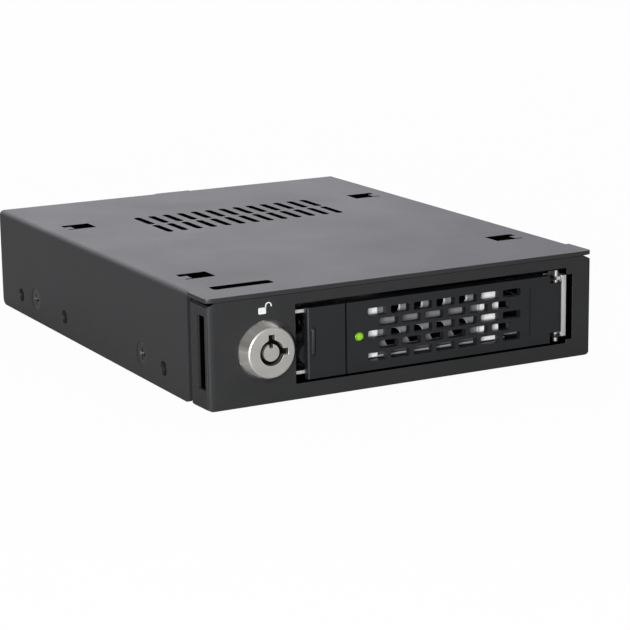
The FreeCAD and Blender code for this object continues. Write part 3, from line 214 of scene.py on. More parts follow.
class Paint:
    """Node tree of one material, built around a principled shader."""

    def __init__(self, name):
        self.material = bpy.data.materials.new(name)
        self.material.use_nodes = True
        self.tree = self.material.node_tree
        self.tree.nodes.clear()
        self.out = self.node("ShaderNodeOutputMaterial")
        self.shader = self.node("ShaderNodeBsdfPrincipled")
        self.link(self.shader.outputs["BSDF"], self.out.inputs["Surface"])
        self.place = self.node("ShaderNodeTexCoord").outputs["Object"]

    def node(self, kind, **settings):
        """A new node with its settings."""
        made = self.tree.nodes.new(kind)
        for key, value in settings.items():
            setattr(made, key, value)
        return made

    def link(self, source, target):
        """Join an output to an input."""
        self.tree.links.new(source, target)

    def feed(self, value, socket):
        """Join an output to an input, or set a constant on it."""
        if hasattr(value, "is_linked"):
            self.link(value, socket)
        else:
            socket.default_value = value

    def stretched(self, scale):
        """Object coordinates, stretched along the axes."""
        mapping = self.node("ShaderNodeMapping")
        mapping.inputs["Scale"].default_value = scale
        self.link(self.place, mapping.inputs["Vector"])
        return mapping.outputs["Vector"]

    def noise(self, scale, detail=3.0, rough=0.55, stretch=None):
        """Cloudy noise through the piece."""
        made = self.node("ShaderNodeTexNoise")
        made.inputs["Scale"].default_value = scale
        made.inputs["Detail"].default_value = detail
        made.inputs["Roughness"].default_value = rough
        self.link(self.stretched(stretch) if stretch else self.place, made.inputs["Vector"])
        return made.outputs["Fac"]

    def noise_along(self, value, scale, detail):
        """Noise that varies with one value alone."""
        made = self.node("ShaderNodeTexNoise", noise_dimensions="1D")
        made.inputs["Scale"].default_value = scale
        made.inputs["Detail"].default_value = detail
        self.link(value, made.inputs["W"])
        return made.outputs["Fac"]

    def spots(self, scale):
        """Distance from scattered points."""
        made = self.node("ShaderNodeTexVoronoi")
        made.inputs["Scale"].default_value = scale
        self.link(self.place, made.inputs["Vector"])
        return made.outputs["Distance"]

    def span(self, value, low=0.0, high=1.0, start=0.3, stop=0.7):
        """Map a texture's middle range onto low to high."""
        made = self.node("ShaderNodeMapRange")
        made.inputs["From Min"].default_value = start
        made.inputs["From Max"].default_value = stop
        made.inputs["To Min"].default_value = low
        made.inputs["To Max"].default_value = high
        self.link(value, made.inputs["Value"])
        return made.outputs["Result"]

    def past(self, value, start, stop):
        """Zero up to a start and one from a stop on."""
        return self.span(value, 0.0, 1.0, start, stop)

    def before(self, value, start, stop):
        """One up to a start and zero from a stop on."""
        return self.span(value, 1.0, 0.0, start, stop)

    def weaker(self, mask, most):
        """A mask from zero to one, brought down to zero to most."""
        return self.span(mask, 0.0, most, 0.0, 1.0)

    def maths(self, operation, first, second):
        """Arithmetic on two values or constants."""
        made = self.node("ShaderNodeMath", operation=operation)
        for socket, value in zip(made.inputs, (first, second)):
            self.feed(value, socket)
        return made.outputs["Value"]

    def both(self, first, second):
        """The product of two masks."""
        return self.maths("MULTIPLY", first, second)

    def along(self, axis):
        """Object coordinate on one axis."""
        made = self.node("ShaderNodeSeparateXYZ")
        self.link(self.place, made.inputs["Vector"])
        return made.outputs[axis]

    def inside(self, low, high, soft):
        """One inside a box and zero outside it, with soft sides."""
        share = 1.0
        for axis, start, stop in zip("XYZ", low, high):
            value = self.along(axis)
            for edge, outside in ((start, start - soft), (stop, stop + soft)):
                share = self.both(share, self.past(value, outside, edge))
        return share

    def beside(self, centre):
        """Offsets across and up from a line along Y through a point."""
        return [self.maths("SUBTRACT", self.along(axis), middle)
                for axis, middle in (("X", centre.x), ("Z", centre.z))]

    def off_axis(self, centre):
        """Distance from a line along Y through a point."""
        squares = [self.maths("MULTIPLY", part, part) for part in self.beside(centre)]
        return self.maths("POWER", self.maths("ADD", *squares), 0.5)

    def around(self, centre):
        """Angle round a line along Y through a point."""
        across, up = self.beside(centre)
        return self.maths("ARCTAN2", up, across)

    def edges(self):
        """One on the rounded edges of a piece and zero elsewhere."""
        return self.node("ShaderNodeAttribute", attribute_name="edge").outputs["Fac"]

    def mix(self, factor, first, second):
        """A blend of two colours."""
        made = self.node("ShaderNodeMix", data_type="RGBA")
        colours = [s for s in made.inputs if s.type == "RGBA"]
        for socket, colour in zip(colours, (first, second)):
            self.feed(colour if hasattr(colour, "is_linked") else (*colour, 1.0), socket)
        self.link(factor, made.inputs["Factor"])
        return [s for s in made.outputs if s.type == "RGBA"][0]

    def bump(self, height, distance, strength=1.0, under=None):
        """Relief from a texture, on top of another relief if there is one."""
        made = self.node("ShaderNodeBump")
        made.inputs["Strength"].default_value = strength
        made.inputs["Distance"].default_value = distance
        self.link(height, made.inputs["Height"])
        if under:
            self.link(under, made.inputs["Normal"])
        return made.outputs["Normal"]

    def set(self, **inputs):
        """Give shader inputs a constant or a linked value."""
        for key, value in inputs.items():
            label = key.replace("_", " ").title().replace("Ior", "IOR")
            self.feed(value, self.shader.inputs[label])
        return self.material


def lighter(colour, by):
    """A colour times a factor, up to white."""
    return tuple(min(1.0, c * by) for c in colour)


def coated_steel(name, colour, rough):
    """Powder coat: fine orange peel, dust specks, and edges paler from thin coat and from a
    painted highlight.
    """
    paint = Paint(name)
    peel = paint.noise(2600, detail=2.0)
    cloud = paint.noise(38, detail=4.0, rough=0.6)
    marks = paint.noise(95, detail=5.0, rough=0.65, stretch=(1.0, 0.25, 1.0))
    specks = paint.before(paint.spots(900), 0.05, 0.16)
    tone = paint.mix(paint.span(cloud), lighter(colour, 0.9), lighter(colour, 1.12))
    tone = paint.mix(paint.weaker(specks, 0.35), tone, lighter(colour, 1.9))
    # paler rounded edges: partly thin coat, partly a painted highlight
    tone = paint.mix(paint.weaker(paint.edges(), 0.6), tone, lighter(colour, 1.7))
    normal = paint.bump(peel, distance=0.00006, strength=0.55)
    normal = paint.bump(marks, distance=0.00005, strength=0.03, under=normal)
    shine = paint.span(cloud, rough - 0.03, rough + 0.03)
    return paint.set(base_color=tone, roughness=shine, normal=normal)


def unlit_inside(name):
    """Painted shade: near-black hollows with a trace of dust; near the bezel's outer side its
    slots get twice its colour, a painted highlight.
    """
    paint = Paint(name)
    dust = paint.noise(420, detail=4.0, rough=0.6)
    # painted shade: the hollows are almost black and have no shine
    tone = paint.mix(paint.span(dust), (0.0005, 0.0005, 0.0005), (0.001, 0.001, 0.0011))
    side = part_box("front_bezel")[0].x
    mouth = paint.before(paint.along("X"), side + 0.0007, side + 0.0009)
    # painted highlight: the side slots' walls near the outer side at twice the bezel's colour
    tone = paint.mix(mouth, tone, lighter(finish().bezel_colour, 2.0))
    normal = paint.bump(dust, distance=0.00002, strength=0.3)
    return paint.set(base_color=tone, roughness=paint.span(dust, 0.8, 0.95),
                     specular_ior_level=0.0, normal=normal)


def grained_plastic(name, colour, rough, grain=3200, depth=0.00004):
    """Moulded plastic with a spark-eroded grain and slight shine marks."""
    paint = Paint(name)
    fine = paint.noise(grain, detail=3.0, rough=0.6)
    cloud = paint.noise(52, detail=4.0)
    rubbed = paint.noise(140, detail=5.0, rough=0.7)
    tone = paint.mix(paint.span(cloud), lighter(colour, 0.88), lighter(colour, 1.14))
    tone = paint.mix(paint.span(fine, high=0.4), tone, lighter(colour, 1.35))
    # paler rounded edges: partly wear, partly a painted highlight
    tone = paint.mix(paint.weaker(paint.edges(), 0.5), tone, lighter(colour, 1.6))
    shine = paint.span(rubbed, rough - 0.07, rough + 0.06)
    normal = paint.bump(fine, distance=depth, strength=0.5)
    return paint.set(base_color=tone, roughness=shine, normal=normal, specular_ior_level=0.4)


def worked_metal(name, colour, rough, stretch, scale=900, metallic=1.0, painted_shade=()):
    """Metal with fine working lines along one way, a little tarnish, edges paler partly from wear
    and partly from a painted highlight, and painted shade in given boxes.
    """
    paint = Paint(name)
    lines = paint.noise(scale, detail=4.0, rough=0.65, stretch=stretch)
    tarnish = paint.noise(120, detail=5.0, rough=0.6)
    scratches = paint.noise(420, detail=2.0, rough=0.5, stretch=(0.3, 1.0, 2.2))
    tone = paint.mix(paint.span(tarnish), lighter(colour, 0.84), colour)
    # paler rounded edges: partly wear, partly a painted highlight
    tone = paint.mix(paint.weaker(paint.edges(), 0.5), tone, lighter(colour, 1.2))
    # painted shade: inside each box the metal goes almost black
    for low, high in painted_shade:
        tone = paint.mix(paint.inside(low, high, soft=0.0002), tone, lighter(colour, 0.03))
    depth = 0.000012
    normal = paint.bump(lines, distance=depth, strength=0.6)
    normal = paint.bump(scratches, distance=depth, strength=0.25, under=normal)
    shine = paint.span(lines, rough - 0.05, rough + 0.09)
    return paint.set(base_color=tone, metallic=metallic, normal=normal, roughness=shine)


def turned_metal(name, colour, rough):
    """Plated lock metal: fine rings from turning, edges brighter partly from wear and partly as a
    painted highlight, painted reflection streaks round its sloped wall and painted shade in its
    keyway.
    """
    paint = Paint(name)
    low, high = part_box("lock_housing")
    centre = (low + high) / 2
    away = paint.off_axis(centre)
    rings = paint.noise_along(away, scale=9000.0, detail=3.0)
    # painted reflection: light and dark streaks round the lock's axis
    painted_reflection_streaks = paint.noise_along(paint.around(centre), scale=1.3, detail=2.0)
    tarnish = paint.noise(160, detail=5.0, rough=0.6)
    grain = paint.noise(2400, detail=3.0, rough=0.6)
    face_end, wall_start = 0.0057, 0.0058
    wall = paint.past(away, face_end, wall_start)
    keyway_end, face_start = 0.0044, 0.0046
    # inside of the keyway, which gets painted shade and more roughness
    deep = paint.both(paint.past(paint.along("Y"), low.y + 0.0005, low.y + 0.0014),
                      paint.before(away, keyway_end, face_start))
    tone = paint.mix(paint.span(tarnish), lighter(colour, 0.86), colour)
    # painted reflection: the sloped wall gets the streaks as bands of colour
    painted_reflection_bands = paint.mix(paint.past(painted_reflection_streaks, 0.35, 0.65), lighter(colour, 0.6), colour)
    tone = paint.mix(wall, tone, painted_reflection_bands)
    # brighter rounded edges: partly wear, partly a painted highlight
    tone = paint.mix(paint.weaker(paint.edges(), 0.7), tone, lighter(colour, 1.5))
    # painted shade: the keyway goes almost black
    tone = paint.mix(deep, tone, (0.03, 0.026, 0.02))
    cuts = paint.both(rings, paint.span(wall, 1.0, 0.15, 0.0, 1.0))
    normal = paint.bump(cuts, distance=0.000006, strength=0.5)
    normal = paint.bump(grain, distance=0.000008, strength=0.2, under=normal)
    shine = paint.span(rings, rough - 0.05, rough + 0.07)
    shine = paint.maths("ADD", shine, paint.weaker(deep, 0.4))
    shine = paint.maths("SUBTRACT", shine, paint.weaker(wall, 0.24))
    return paint.set(base_color=tone, metallic=1.0, roughness=shine, normal=normal)


def pierced_sheet(name, colour):
    """Bright zinc sheet, with painted shade on the face and foot of its pierced middle, and cut
    edges paler partly from bare metal and partly from a painted highlight.
    """
    paint = Paint(name)
    low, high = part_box("tray_front_plate")
    rim, soft = 0.0052, 0.0002
    left, right = low.x + rim, high.x - rim
    middle = paint.both(paint.past(paint.along("X"), left - soft, left + soft),
                        paint.before(paint.along("X"), right - soft, right + soft))
    face = paint.before(paint.along("Y"), FRONT + 0.00526, FRONT + 0.00534)
    foot = paint.before(paint.along("Z"), 0.0064, 0.0068)
    spangle = paint.past(paint.spots(700), 0.1, 0.6)
    lines = paint.noise(900, detail=4.0, rough=0.65, stretch=(0.1, 1.0, 1.0))
    tone = paint.mix(spangle, colour, lighter(colour, 0.88))
    # painted shade: the pierced middle's face, which lies in the door's shadow
    tone = paint.mix(paint.both(middle, face), tone, lighter(colour, 0.22))
    # painted shade: the middle's foot almost black
    tone = paint.mix(paint.both(middle, foot), tone, lighter(colour, 0.04))
    # paler cut edges: partly bare metal, partly a painted highlight
    tone = paint.mix(paint.weaker(paint.edges(), 0.8), tone, lighter(colour, 1.1))
    normal = paint.bump(lines, distance=0.000012, strength=0.5)
    return paint.set(base_color=tone, metallic=0.0, normal=normal,
                     roughness=paint.span(lines, 0.36, 0.52))


def clear_plastic(name, colour, clear, glow=0.0):
    """Tinted clear moulding with flow lines; a lit one glows from inside."""
    paint = Paint(name)
    flow = paint.noise(700, detail=2.0, rough=0.5, stretch=(1.0, 0.3, 1.0))
    tone = paint.mix(paint.span(flow), lighter(colour, 0.9), colour)
    normal = paint.bump(flow, distance=0.00001, strength=0.3)
    paint.set(base_color=tone, roughness=paint.span(flow, 0.08, 0.16),
              transmission_weight=clear, ior=1.49, normal=normal)
    if glow:
        low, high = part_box("led_lens")
        core, rim = 0.0003, (high.x - low.x) / 2
        fade = paint.past(paint.off_axis((low + high) / 2), core, rim)
        light = paint.mix(fade, (0.25, 0.54, 0.01), (0.012, 0.03, 0.0))
        paint.set(emission_color=light, emission_strength=glow)
    return paint.material


def circuit_board(name):
    """Green solder mask with paler tracks beneath it."""
    paint = Paint(name)
    wave = paint.node("ShaderNodeTexWave", wave_type="BANDS", bands_direction="Z")
    wave.inputs["Scale"].default_value = 160.0
    wave.inputs["Distortion"].default_value = 6.0
    wave.inputs["Detail"].default_value = 1.0
    paint.link(paint.place, wave.inputs["Vector"])
    tracks = paint.past(wave.outputs["Fac"], 0.55, 0.65)
    grain = paint.noise(1500, detail=2.0)
    tone = paint.mix(tracks, (0.012, 0.075, 0.035), (0.02, 0.13, 0.06))
    normal = paint.bump(tracks, distance=0.00004, strength=0.5)
    return paint.set(base_color=tone, roughness=paint.span(grain, 0.28, 0.42), normal=normal)


def printed_white(name):
    """White pad-printed ink, a little thin in places."""
    paint = Paint(name)
    thin = paint.noise(2400, detail=3.0)
    tone = paint.mix(paint.span(thin), (0.56, 0.57, 0.58), (0.7, 0.7, 0.7))
    normal = paint.bump(thin, distance=0.00001, strength=0.4)
    return paint.set(base_color=tone, roughness=paint.span(thin, 0.5, 0.65), normal=normal)


def tray_front():
    """Boxes of the tray's tongue, lugs, upper rail and inside, where painted shade darkens the
    sheet behind their front edges.
    """
    plate_low, plate_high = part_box("tray_front_plate")
    low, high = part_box("tray_frame")
    pin_low, pin_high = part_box("hinge_pin")
    left, right = plate_low.x - 0.002, plate_high.x + 0.012
    edge, back = FRONT + 0.0029, FRONT + 0.009
    lug, hinge_back = pin_low.x - 0.0008, FRONT + 0.0032
    tongue = (left, FRONT + 0.004, low.z), (right, back, 0.0055)
    rail = (low.x, edge, high.z - 0.0012), (right, back, high.z + 0.0005)
    guide = (low.x, edge, low.z), (left, back, 0.0064)
    upper_hinge = (lug, FRONT, high.z - 0.0016), (pin_low.x, hinge_back, high.z + 0.0002)
    lower_hinge = (lug, FRONT, low.z), (pin_high.x + 0.0004, hinge_back, low.z + 0.0016)
    inside = ((low.x + 0.0005, back, low.z + 0.0003), (high.x - 0.0005, high.y, high.z + 0.0005))
    return tongue, rail, guide, upper_hinge, lower_hinge, inside


def housing_hollow():
    """Box of the housing's inner surfaces and of the walls of its openings."""
    low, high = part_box("base_chassis")
    sheet = 0.0009
    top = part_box("top_cover")[1].z - 0.0001
    return ((low.x + sheet, FRONT + 0.0008, low.z + sheet), (high.x - sheet, high.y - sheet, top))


def bezel_hollow():
    """Box of the bezel's inner surfaces and of the walls of its openings."""
    low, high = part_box("front_bezel")
    skin = 0.0003
    return tuple(c + skin for c in low), tuple(c - skin for c in high)


def stock(name):
    """The named material, made the first time that it is asked for."""
    if name in bpy.data.materials:
        return bpy.data.materials[name]
    made = finish()
    makers = {
        "powder_coat": lambda: coated_steel(name, made.cover_colour, 0.48),
        "inside_painted_shade": lambda: unlit_inside(name),
        "bezel_grain": lambda: grained_plastic(name, made.bezel_colour, 0.5),
        "door_satin": lambda: grained_plastic(
            name, made.door_colour, 0.42, grain=4200, depth=0.00002),
        "connector_black": lambda: grained_plastic(name, (0.015, 0.015, 0.016), 0.45, grain=2600),
        "nickel_turned": lambda: turned_metal(name, (0.8, 0.78, 0.745), 0.4),
        "nickel_core": lambda: turned_metal(name, (0.8, 0.78, 0.74), 0.4),
        # the tray's sheet gets painted shade in the tray_front boxes
        "tray_sheet": lambda: worked_metal(
            name, (0.78, 0.78, 0.77), 0.36, (1.0, 0.08, 1.0), metallic=0.6, painted_shade=tray_front()),
        "plate_sheet": lambda: pierced_sheet(name, (0.93, 0.93, 0.93)),
        "zinc_plate": lambda: worked_metal(name, (0.6, 0.61, 0.64), 0.32, LINES_UP, 1100),
        "pin_steel": lambda: worked_metal(name, (0.5, 0.5, 0.49), 0.55, LINES_UP, 1100),
        "spring_oxide": lambda: worked_metal(name, (0.02, 0.02, 0.021), 0.5, LINES_ACROSS, 1500),
        "black_oxide": lambda: worked_metal(name, (0.105, 0.105, 0.108), 0.34, LINES_ACROSS, 1500),
        "pin_brass": lambda: worked_metal(name, (0.62, 0.45, 0.2), 0.3, LINES_BACK, 1500),
        "contact_gilt": lambda: worked_metal(name, (0.86, 0.62, 0.26), 0.26, LINES_BACK, 1500),
        "pipe_clear": lambda: clear_plastic(name, (0.4, 0.42, 0.42), 0.96),
        "lens_green": lambda: clear_plastic(name, (0.12, 0.26, 0.015), 0.55, made.light_strength),
        "board_mask": lambda: circuit_board(name),
        "ink_white": lambda: printed_white(name),
    }
    return makers[name]()


# Meshes and objects

def mesh_of(work, name):
    """Mesh data of a work mesh, which is freed."""
    mesh = bpy.data.meshes.new(name)
    work.to_mesh(mesh)
    work.free()
    return mesh


def placed(name, data):
    """A new object in the scene."""
    item = bpy.data.objects.new(name, data)
    bpy.context.scene.collection.objects.link(item)
    return item


def coat(mesh, material):
    """Give mesh data one material."""
    mesh.materials.clear()
    mesh.materials.append(stock(material))


def show(name, mesh, material, body, slot, *nodes):
    """Put a finished mesh in the scene, on its body and in place of CAD nodes."""
    piece = placed(name, mesh)
    coat(mesh, material)
    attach(piece, body)
    if nodes:
        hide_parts(*nodes)
    return piece


def dress(node, material):
    """Give a CAD node that stays in view a detailed material."""
    coat(frame["nodes"][node].data, material)


def slot_of(node):
    """Material slot of a CAD node in the record."""
    return [s["material_slot"] for s in frame["record"]["subparts"] if s["node"] == node][0]


def welded(node):
    """A work mesh of a CAD node, with its facets joined into whole faces."""
    work = bmesh.new()
    work.from_mesh(frame["nodes"][node].data)
    bmesh.ops.remove_doubles(work, verts=work.verts, dist=2e-6)
    bmesh.ops.dissolve_limit(
        work, angle_limit=math.radians(0.3), verts=work.verts, edges=work.edges)
    return work


def smooth_holder(work, name):
    """An object of a work mesh, shaded smooth between its sharp edges, to take a modifier."""
    for face in work.faces:
        face.smooth = True
    mesh = mesh_of(work, name)
    mesh.set_sharp_from_angle(angle=SHARP_FROM)
    return placed(name, mesh)


def baked(holder, name):
    """Mesh data of an object with its modifiers applied; the object goes."""
    graph = bpy.context.evaluated_depsgraph_get()
    mesh = bpy.data.meshes.new_from_object(
        holder.evaluated_get(graph), preserve_all_data_layers=True, depsgraph=graph)
    mesh.name = name
    raw = holder.data
    bpy.data.objects.remove(holder)
    bpy.data.meshes.remove(raw)
    return mesh


def weighted(work, name):
    """Mesh data of a work mesh, with its flat faces shaded flat into their rounded edges."""
    holder = smooth_holder(work, name + "_raw")
    shade = holder.modifiers.new("shade", "WEIGHTED_NORMAL")
    shade.keep_sharp = True
    return baked(holder, name)


def repeat_tree(name, material):
    """Geometry nodes that repeat a mesh in a row."""
    tree = bpy.data.node_groups.new(name, "GeometryNodeTree")
    inputs = {"Piece": "NodeSocketGeometry", "Count": "NodeSocketInt", "Step": "NodeSocketVector"}
    sockets = {}
    for label, kind in inputs.items():
        socket = tree.interface.new_socket(label, in_out="INPUT", socket_type=kind)
        sockets[label] = socket.identifier
    tree.interface.new_socket("Row", in_out="OUTPUT", socket_type="NodeSocketGeometry")
    start = tree.nodes.new("NodeGroupInput").outputs
    line = tree.nodes.new("GeometryNodeMeshLine")
    copies = tree.nodes.new("GeometryNodeInstanceOnPoints")
    real = tree.nodes.new("GeometryNodeRealizeInstances")
    cover = tree.nodes.new("GeometryNodeSetMaterial")
    end = tree.nodes.new("NodeGroupOutput")
    cover.inputs["Material"].default_value = stock(material)
    for source, target in (
            (start["Count"], line.inputs["Count"]),
            (start["Step"], line.inputs["Offset"]),
            (line.outputs["Mesh"], copies.inputs["Points"]),
            (start["Piece"], copies.inputs["Instance"]),
            (copies.outputs["Instances"], real.inputs["Geometry"]),
            (real.outputs["Geometry"], cover.inputs["Geometry"]),
            (cover.outputs["Geometry"], end.inputs["Row"])):
        tree.links.new(source, target)
    return tree, sockets


def in_a_row(work, name, material, count, step):
    """Mesh data of a work mesh repeated in a row."""
    holder = smooth_holder(work, name + "_one")
    tree, sockets = repeat_tree(name + "_row", material)
    row = holder.modifiers.new("row", "NODES")
    row.node_group = tree
    row[sockets["Count"]] = count
    row[sockets["Step"]] = step
    return baked(holder, name)


def ringed(items):
    """Pairs of neighbours round a closed loop."""
    return list(zip(items, items[1:] + items[:1]))


def extruded(work, corners, low, high):
    """A prism on a flat outline; corners are (x, z) and it stands along Y."""
    near = [work.verts.new((x, low, z)) for x, z in corners]
    far = [work.verts.new((x, high, z)) for x, z in corners]
    work.faces.new(near)
    work.faces.new(list(reversed(far)))
    for (near_a, near_b), (far_a, far_b) in zip(ringed(near), ringed(far)):
        work.faces.new((near_b, near_a, far_a, far_b))


def arc(centre, radius, start, stop, steps):
    """Points (x, z) along an arc, in degrees."""
    points = []
    for i in range(steps + 1):
        angle = math.radians(start + (stop - start) * i / steps)
        points.append((centre[0] + radius * math.cos(angle), centre[1] + radius * math.sin(angle)))
    return points


def rounded_box(x, z, width, height, radius, steps=5):
    """Outline (x, z) of a rectangle with round corners, about its middle."""
    u, v = width / 2 - radius, height / 2 - radius
    points = []
    for su, sv, start in ((1, -1, -90), (1, 1, 0), (-1, 1, 90), (-1, -1, 180)):
        points += arc((x + su * u, z + sv * v), radius, start, start + 90, steps)
    return points


def cross_screw(work, head, sink, length, shaft, spot, side):
    """A countersunk cross-head screw at a spot, driven along X towards a side."""
    def at(across, up, deep):
        return work.verts.new(Vector(spot) + Vector((side * deep, across, up)))

    steps = 40
    turns = [2 * math.pi * i / steps for i in range(steps)]
    profile = ((head * 0.97, 0.0), (head, 0.00006), (shaft, sink), (shaft, length),
               (shaft * 0.6, length))
    rings = [[at(radius * math.cos(turn), radius * math.sin(turn), deep) for turn in turns]
             for radius, deep in profile]
    for ring, below in zip(rings, rings[1:]):
        for (a, b), (c, d) in zip(ringed(ring), ringed(below)):
            work.faces.new((a, b, d, c))
    work.faces.new(rings[-1])
    # the recess has four arms and narrows as it goes down
    arm, half, narrow, depth = head * 0.58, head * 0.13, 0.45, head * 0.5
    outline = []
    for quarter in range(4):
        turn = Matrix.Rotation(quarter * math.pi / 2, 2)
        for u, v in ((half, -half), (arm, -half), (arm, half)):
            outline.append(turn @ Vector((u, v)))
    mouth, floor = [[at(p.x * scale, p.y * scale, deep) for p in outline]
                    for scale, deep in ((1.0, 0.0), (narrow, depth))]
    edges = [work.edges.get(pair) or work.edges.new(pair)
             for loop in (rings[0], mouth) for pair in ringed(loop)]
    bmesh.ops.triangle_fill(work, edges=edges, use_beauty=True)
    for (a, b), (c, d) in zip(ringed(mouth), ringed(floor)):
        work.faces.new((a, b, d, c))
    work.faces.new(floor)
    bmesh.ops.recalc_face_normals(work, faces=work.faces)


# Small shapes, refined on the work meshes of the solids

def wider_slot(work):
    """Open the cover's narrow slot about its middle line."""
    middle, solid_half, left, right = FRONT + 0.0096, 0.00085, -0.045, -0.0296
    more = form().slot_width / 2 - solid_half
    for vert in work.verts:
        aside = vert.co.y - middle
        if left < vert.co.x < right and abs(aside) < solid_half * 1.05:
            vert.co.y += math.copysign(more, aside)


def rounder_corners(work):
    """Make the round of the upright front edges reach further across the front than back."""
    solid = 0.001
    wider, deeper = form().corner_across / solid, form().corner_back / solid
    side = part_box("front_bezel")[1].x
    for vert in work.verts:
        across, back = side - abs(vert.co.x), vert.co.y - FRONT
        off = abs(math.hypot(solid - across, solid - back) - solid)
        if max(across, back) < solid * 1.01 and off < solid * ROUND_SNAP:
            vert.co.x = math.copysign(side - across * wider, vert.co.x)
            vert.co.y = FRONT + back * deeper


def cover_shape(work):
    """Widen the cover's slot and round its upright edges."""
    wider_slot(work)
    rounder_corners(work)


def bezel_shape(work):
    """Bring the side slots nearer to the front and round the upright edges."""
    solid_edge, slot_from = FRONT + 0.0019, 0.047
    for vert in work.verts:
        if abs(vert.co.x) > slot_from and abs(vert.co.y - solid_edge) < SNAP:
            vert.co.y = FRONT + form().slot_edge
    rounder_corners(work)


def latch_shape(work):
    """Raise a rib in the latch's finger groove and open the seam to the door."""
    face, floor, end, seam_depth, margin = 0.0008, 0.0012, -0.0157, 0.0025, 0.0003
    groove = [f for f in work.faces if all(abs(v.co.y - FRONT - floor) < SNAP for v in f.verts)]
    bmesh.ops.inset_region(work, faces=groove, thickness=margin, use_even_offset=True)
    for vert in {v for f in groove for v in f.verts}:
        vert.co.y = FRONT + face - form().rib
    for vert in work.verts:
        if abs(vert.co.x - end) < SNAP and vert.co.y < FRONT + seam_depth:
            vert.co.x -= form().seam


def plate_shape(work):
    """Widen and lift the lower row of air holes in the plate."""
    first, pitch, count, row, solid = -0.00087, 0.006045, 4, 0.00933, 0.0019
    wider = form().hole / solid
    for vert in work.verts:
        column = round((vert.co.x - first) / pitch)
        middle = first + column * pitch
        across, up = vert.co.x - middle, vert.co.z - row
        off = abs(math.hypot(across, up) - solid)
        if 0 <= column < count and off < solid * ROUND_SNAP:
            vert.co.x = middle + across * wider
            vert.co.z = row + form().hole_rise + up * wider


def tray_shape(work):
    """Thin the tray's guide and hinge lugs from their inner faces."""
    low, high, solid = 0.005, 0.0198, 0.0012
    guide_end, hinge_start, lug_depth = -0.016, 0.04, 0.0061
    for vert in work.verts:
        at_lug = vert.co.x < guide_end or vert.co.x > hinge_start
        if at_lug and vert.co.y < FRONT + lug_depth:
            if abs(vert.co.z - low - solid) < SNAP:
                vert.co.z = low + form().lug
            elif abs(vert.co.z - high + solid) < SNAP:
                vert.co.z = high - form().lug


def soften(node, material, radius=1.0, segments=2, hollow=None, shape=None):
    """Show a CAD node with refined shapes, rounded edges and painted shade in its hollow."""
    work = welded(node)
    if shape:
        shape(work)
    # rounded edges are marked for paler paint: partly edge wear, partly a painted highlight
    edge_wear_and_highlight = work.faces.layers.float.new("edge")
    sharp = [e for e in work.edges
             if len(e.link_faces) == 2 and e.calc_face_angle(0.0) > ROUNDED_FROM]
    made = bmesh.ops.bevel(
        work, geom=sharp, offset=finish().edge * radius, offset_type="OFFSET", segments=segments,
        profile=0.5, affect="EDGES", clamp_overlap=True)
    for face in made["faces"]:
        face[edge_wear_and_highlight] = 1.0
    name, body = node + "_look", frame["nodes"][node]["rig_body"]
    piece = show(name, weighted(work, name), material, body, slot_of(node), node)
    # painted shade: faces inside the hollow box get the near-black material
    if hollow:
        low, high = hollow
        piece.data.materials.append(stock("inside_painted_shade"))
        for face in piece.data.polygons:
            within = all(a < c < b for a, c, b in zip(low, face.center, high))
            face.material_index = int(within)
    return piece


# Operators, one for each group of pieces

class RACK_OT_housing(bpy.types.Operator):
    """Cover, chassis and tray guides"""
    bl_idname = "rack.housing"
    bl_label = "Housing"

    def execute(self, context):
        soften("top_cover", "powder_coat", hollow=housing_hollow(), shape=cover_shape)
        soften("base_chassis", "powder_coat", 0.8, hollow=housing_hollow())
        for node in ("tray_guide_left", "tray_guide_right"):
            dress(node, "connector_black")
        for node in ("guide_screws", "bezel_screws", "board_screws"):
            dress(node, "zinc_plate")
        return {"FINISHED"}


class RACK_OT_screws(bpy.types.Operator):
    """Cross-head screws in the cover's sides"""
    bl_idname = "rack.screws"
    bl_label = "Cover screws"

    def execute(self, context):
        put = context.scene.rack_screws
        sink, length, shaft = 0.0008, 0.0032, 0.0012
        low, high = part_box("cover_screws")
        name, material = "cover_screws_look", "black_oxide"
        work = bmesh.new()
        for side, x in ((1, low.x), (-1, high.x)):
            spot = (x, low.y + put.head, (low.z + high.z) / 2)
            cross_screw(work, put.head, sink, length, shaft, spot, side)
        mesh = in_a_row(work, name, material, put.count, (0.0, put.pitch, 0.0))
        show(name, mesh, material, "housing", slot_of("cover_screws"), "cover_screws")
        return {"FINISHED"}


class RACK_OT_bezel(bpy.types.Operator):
    """Front bezel with the padlock sign"""
    bl_idname = "rack.bezel"
    bl_label = "Bezel"

    def execute(self, context):
        soften("front_bezel", "bezel_grain", 1.1, 3, bezel_hollow(), bezel_shape)
        put = context.scene.rack_mark
        near, far = FRONT - 0.00003, FRONT + 0.00004
        # the sign's parts are shares of its body's width
        tall, corner = put.side * 0.76, put.side * 0.1
        outer, inner, tip, steps = put.side * 0.43, put.side * 0.29, -18, 20
        centre = (put.across + put.side * 0.82, put.up + put.side * 0.53)
        foot = put.up + put.side * 0.3
        bow = arc(centre, outer, 180, tip, steps) + arc(centre, inner, tip, 180, steps)
        bow += [(centre[0] - inner, foot), (centre[0] - outer, foot)]
        work = bmesh.new()
        extruded(work, rounded_box(put.across, put.up, put.side, tall, corner), near, far)
        extruded(work, bow, near, far)
        bmesh.ops.recalc_face_normals(work, faces=work.faces)
        sign = mesh_of(work, "padlock_sign")
        show("padlock_sign", sign, "ink_white", "housing", "dark_moulding")
        return {"FINISHED"}


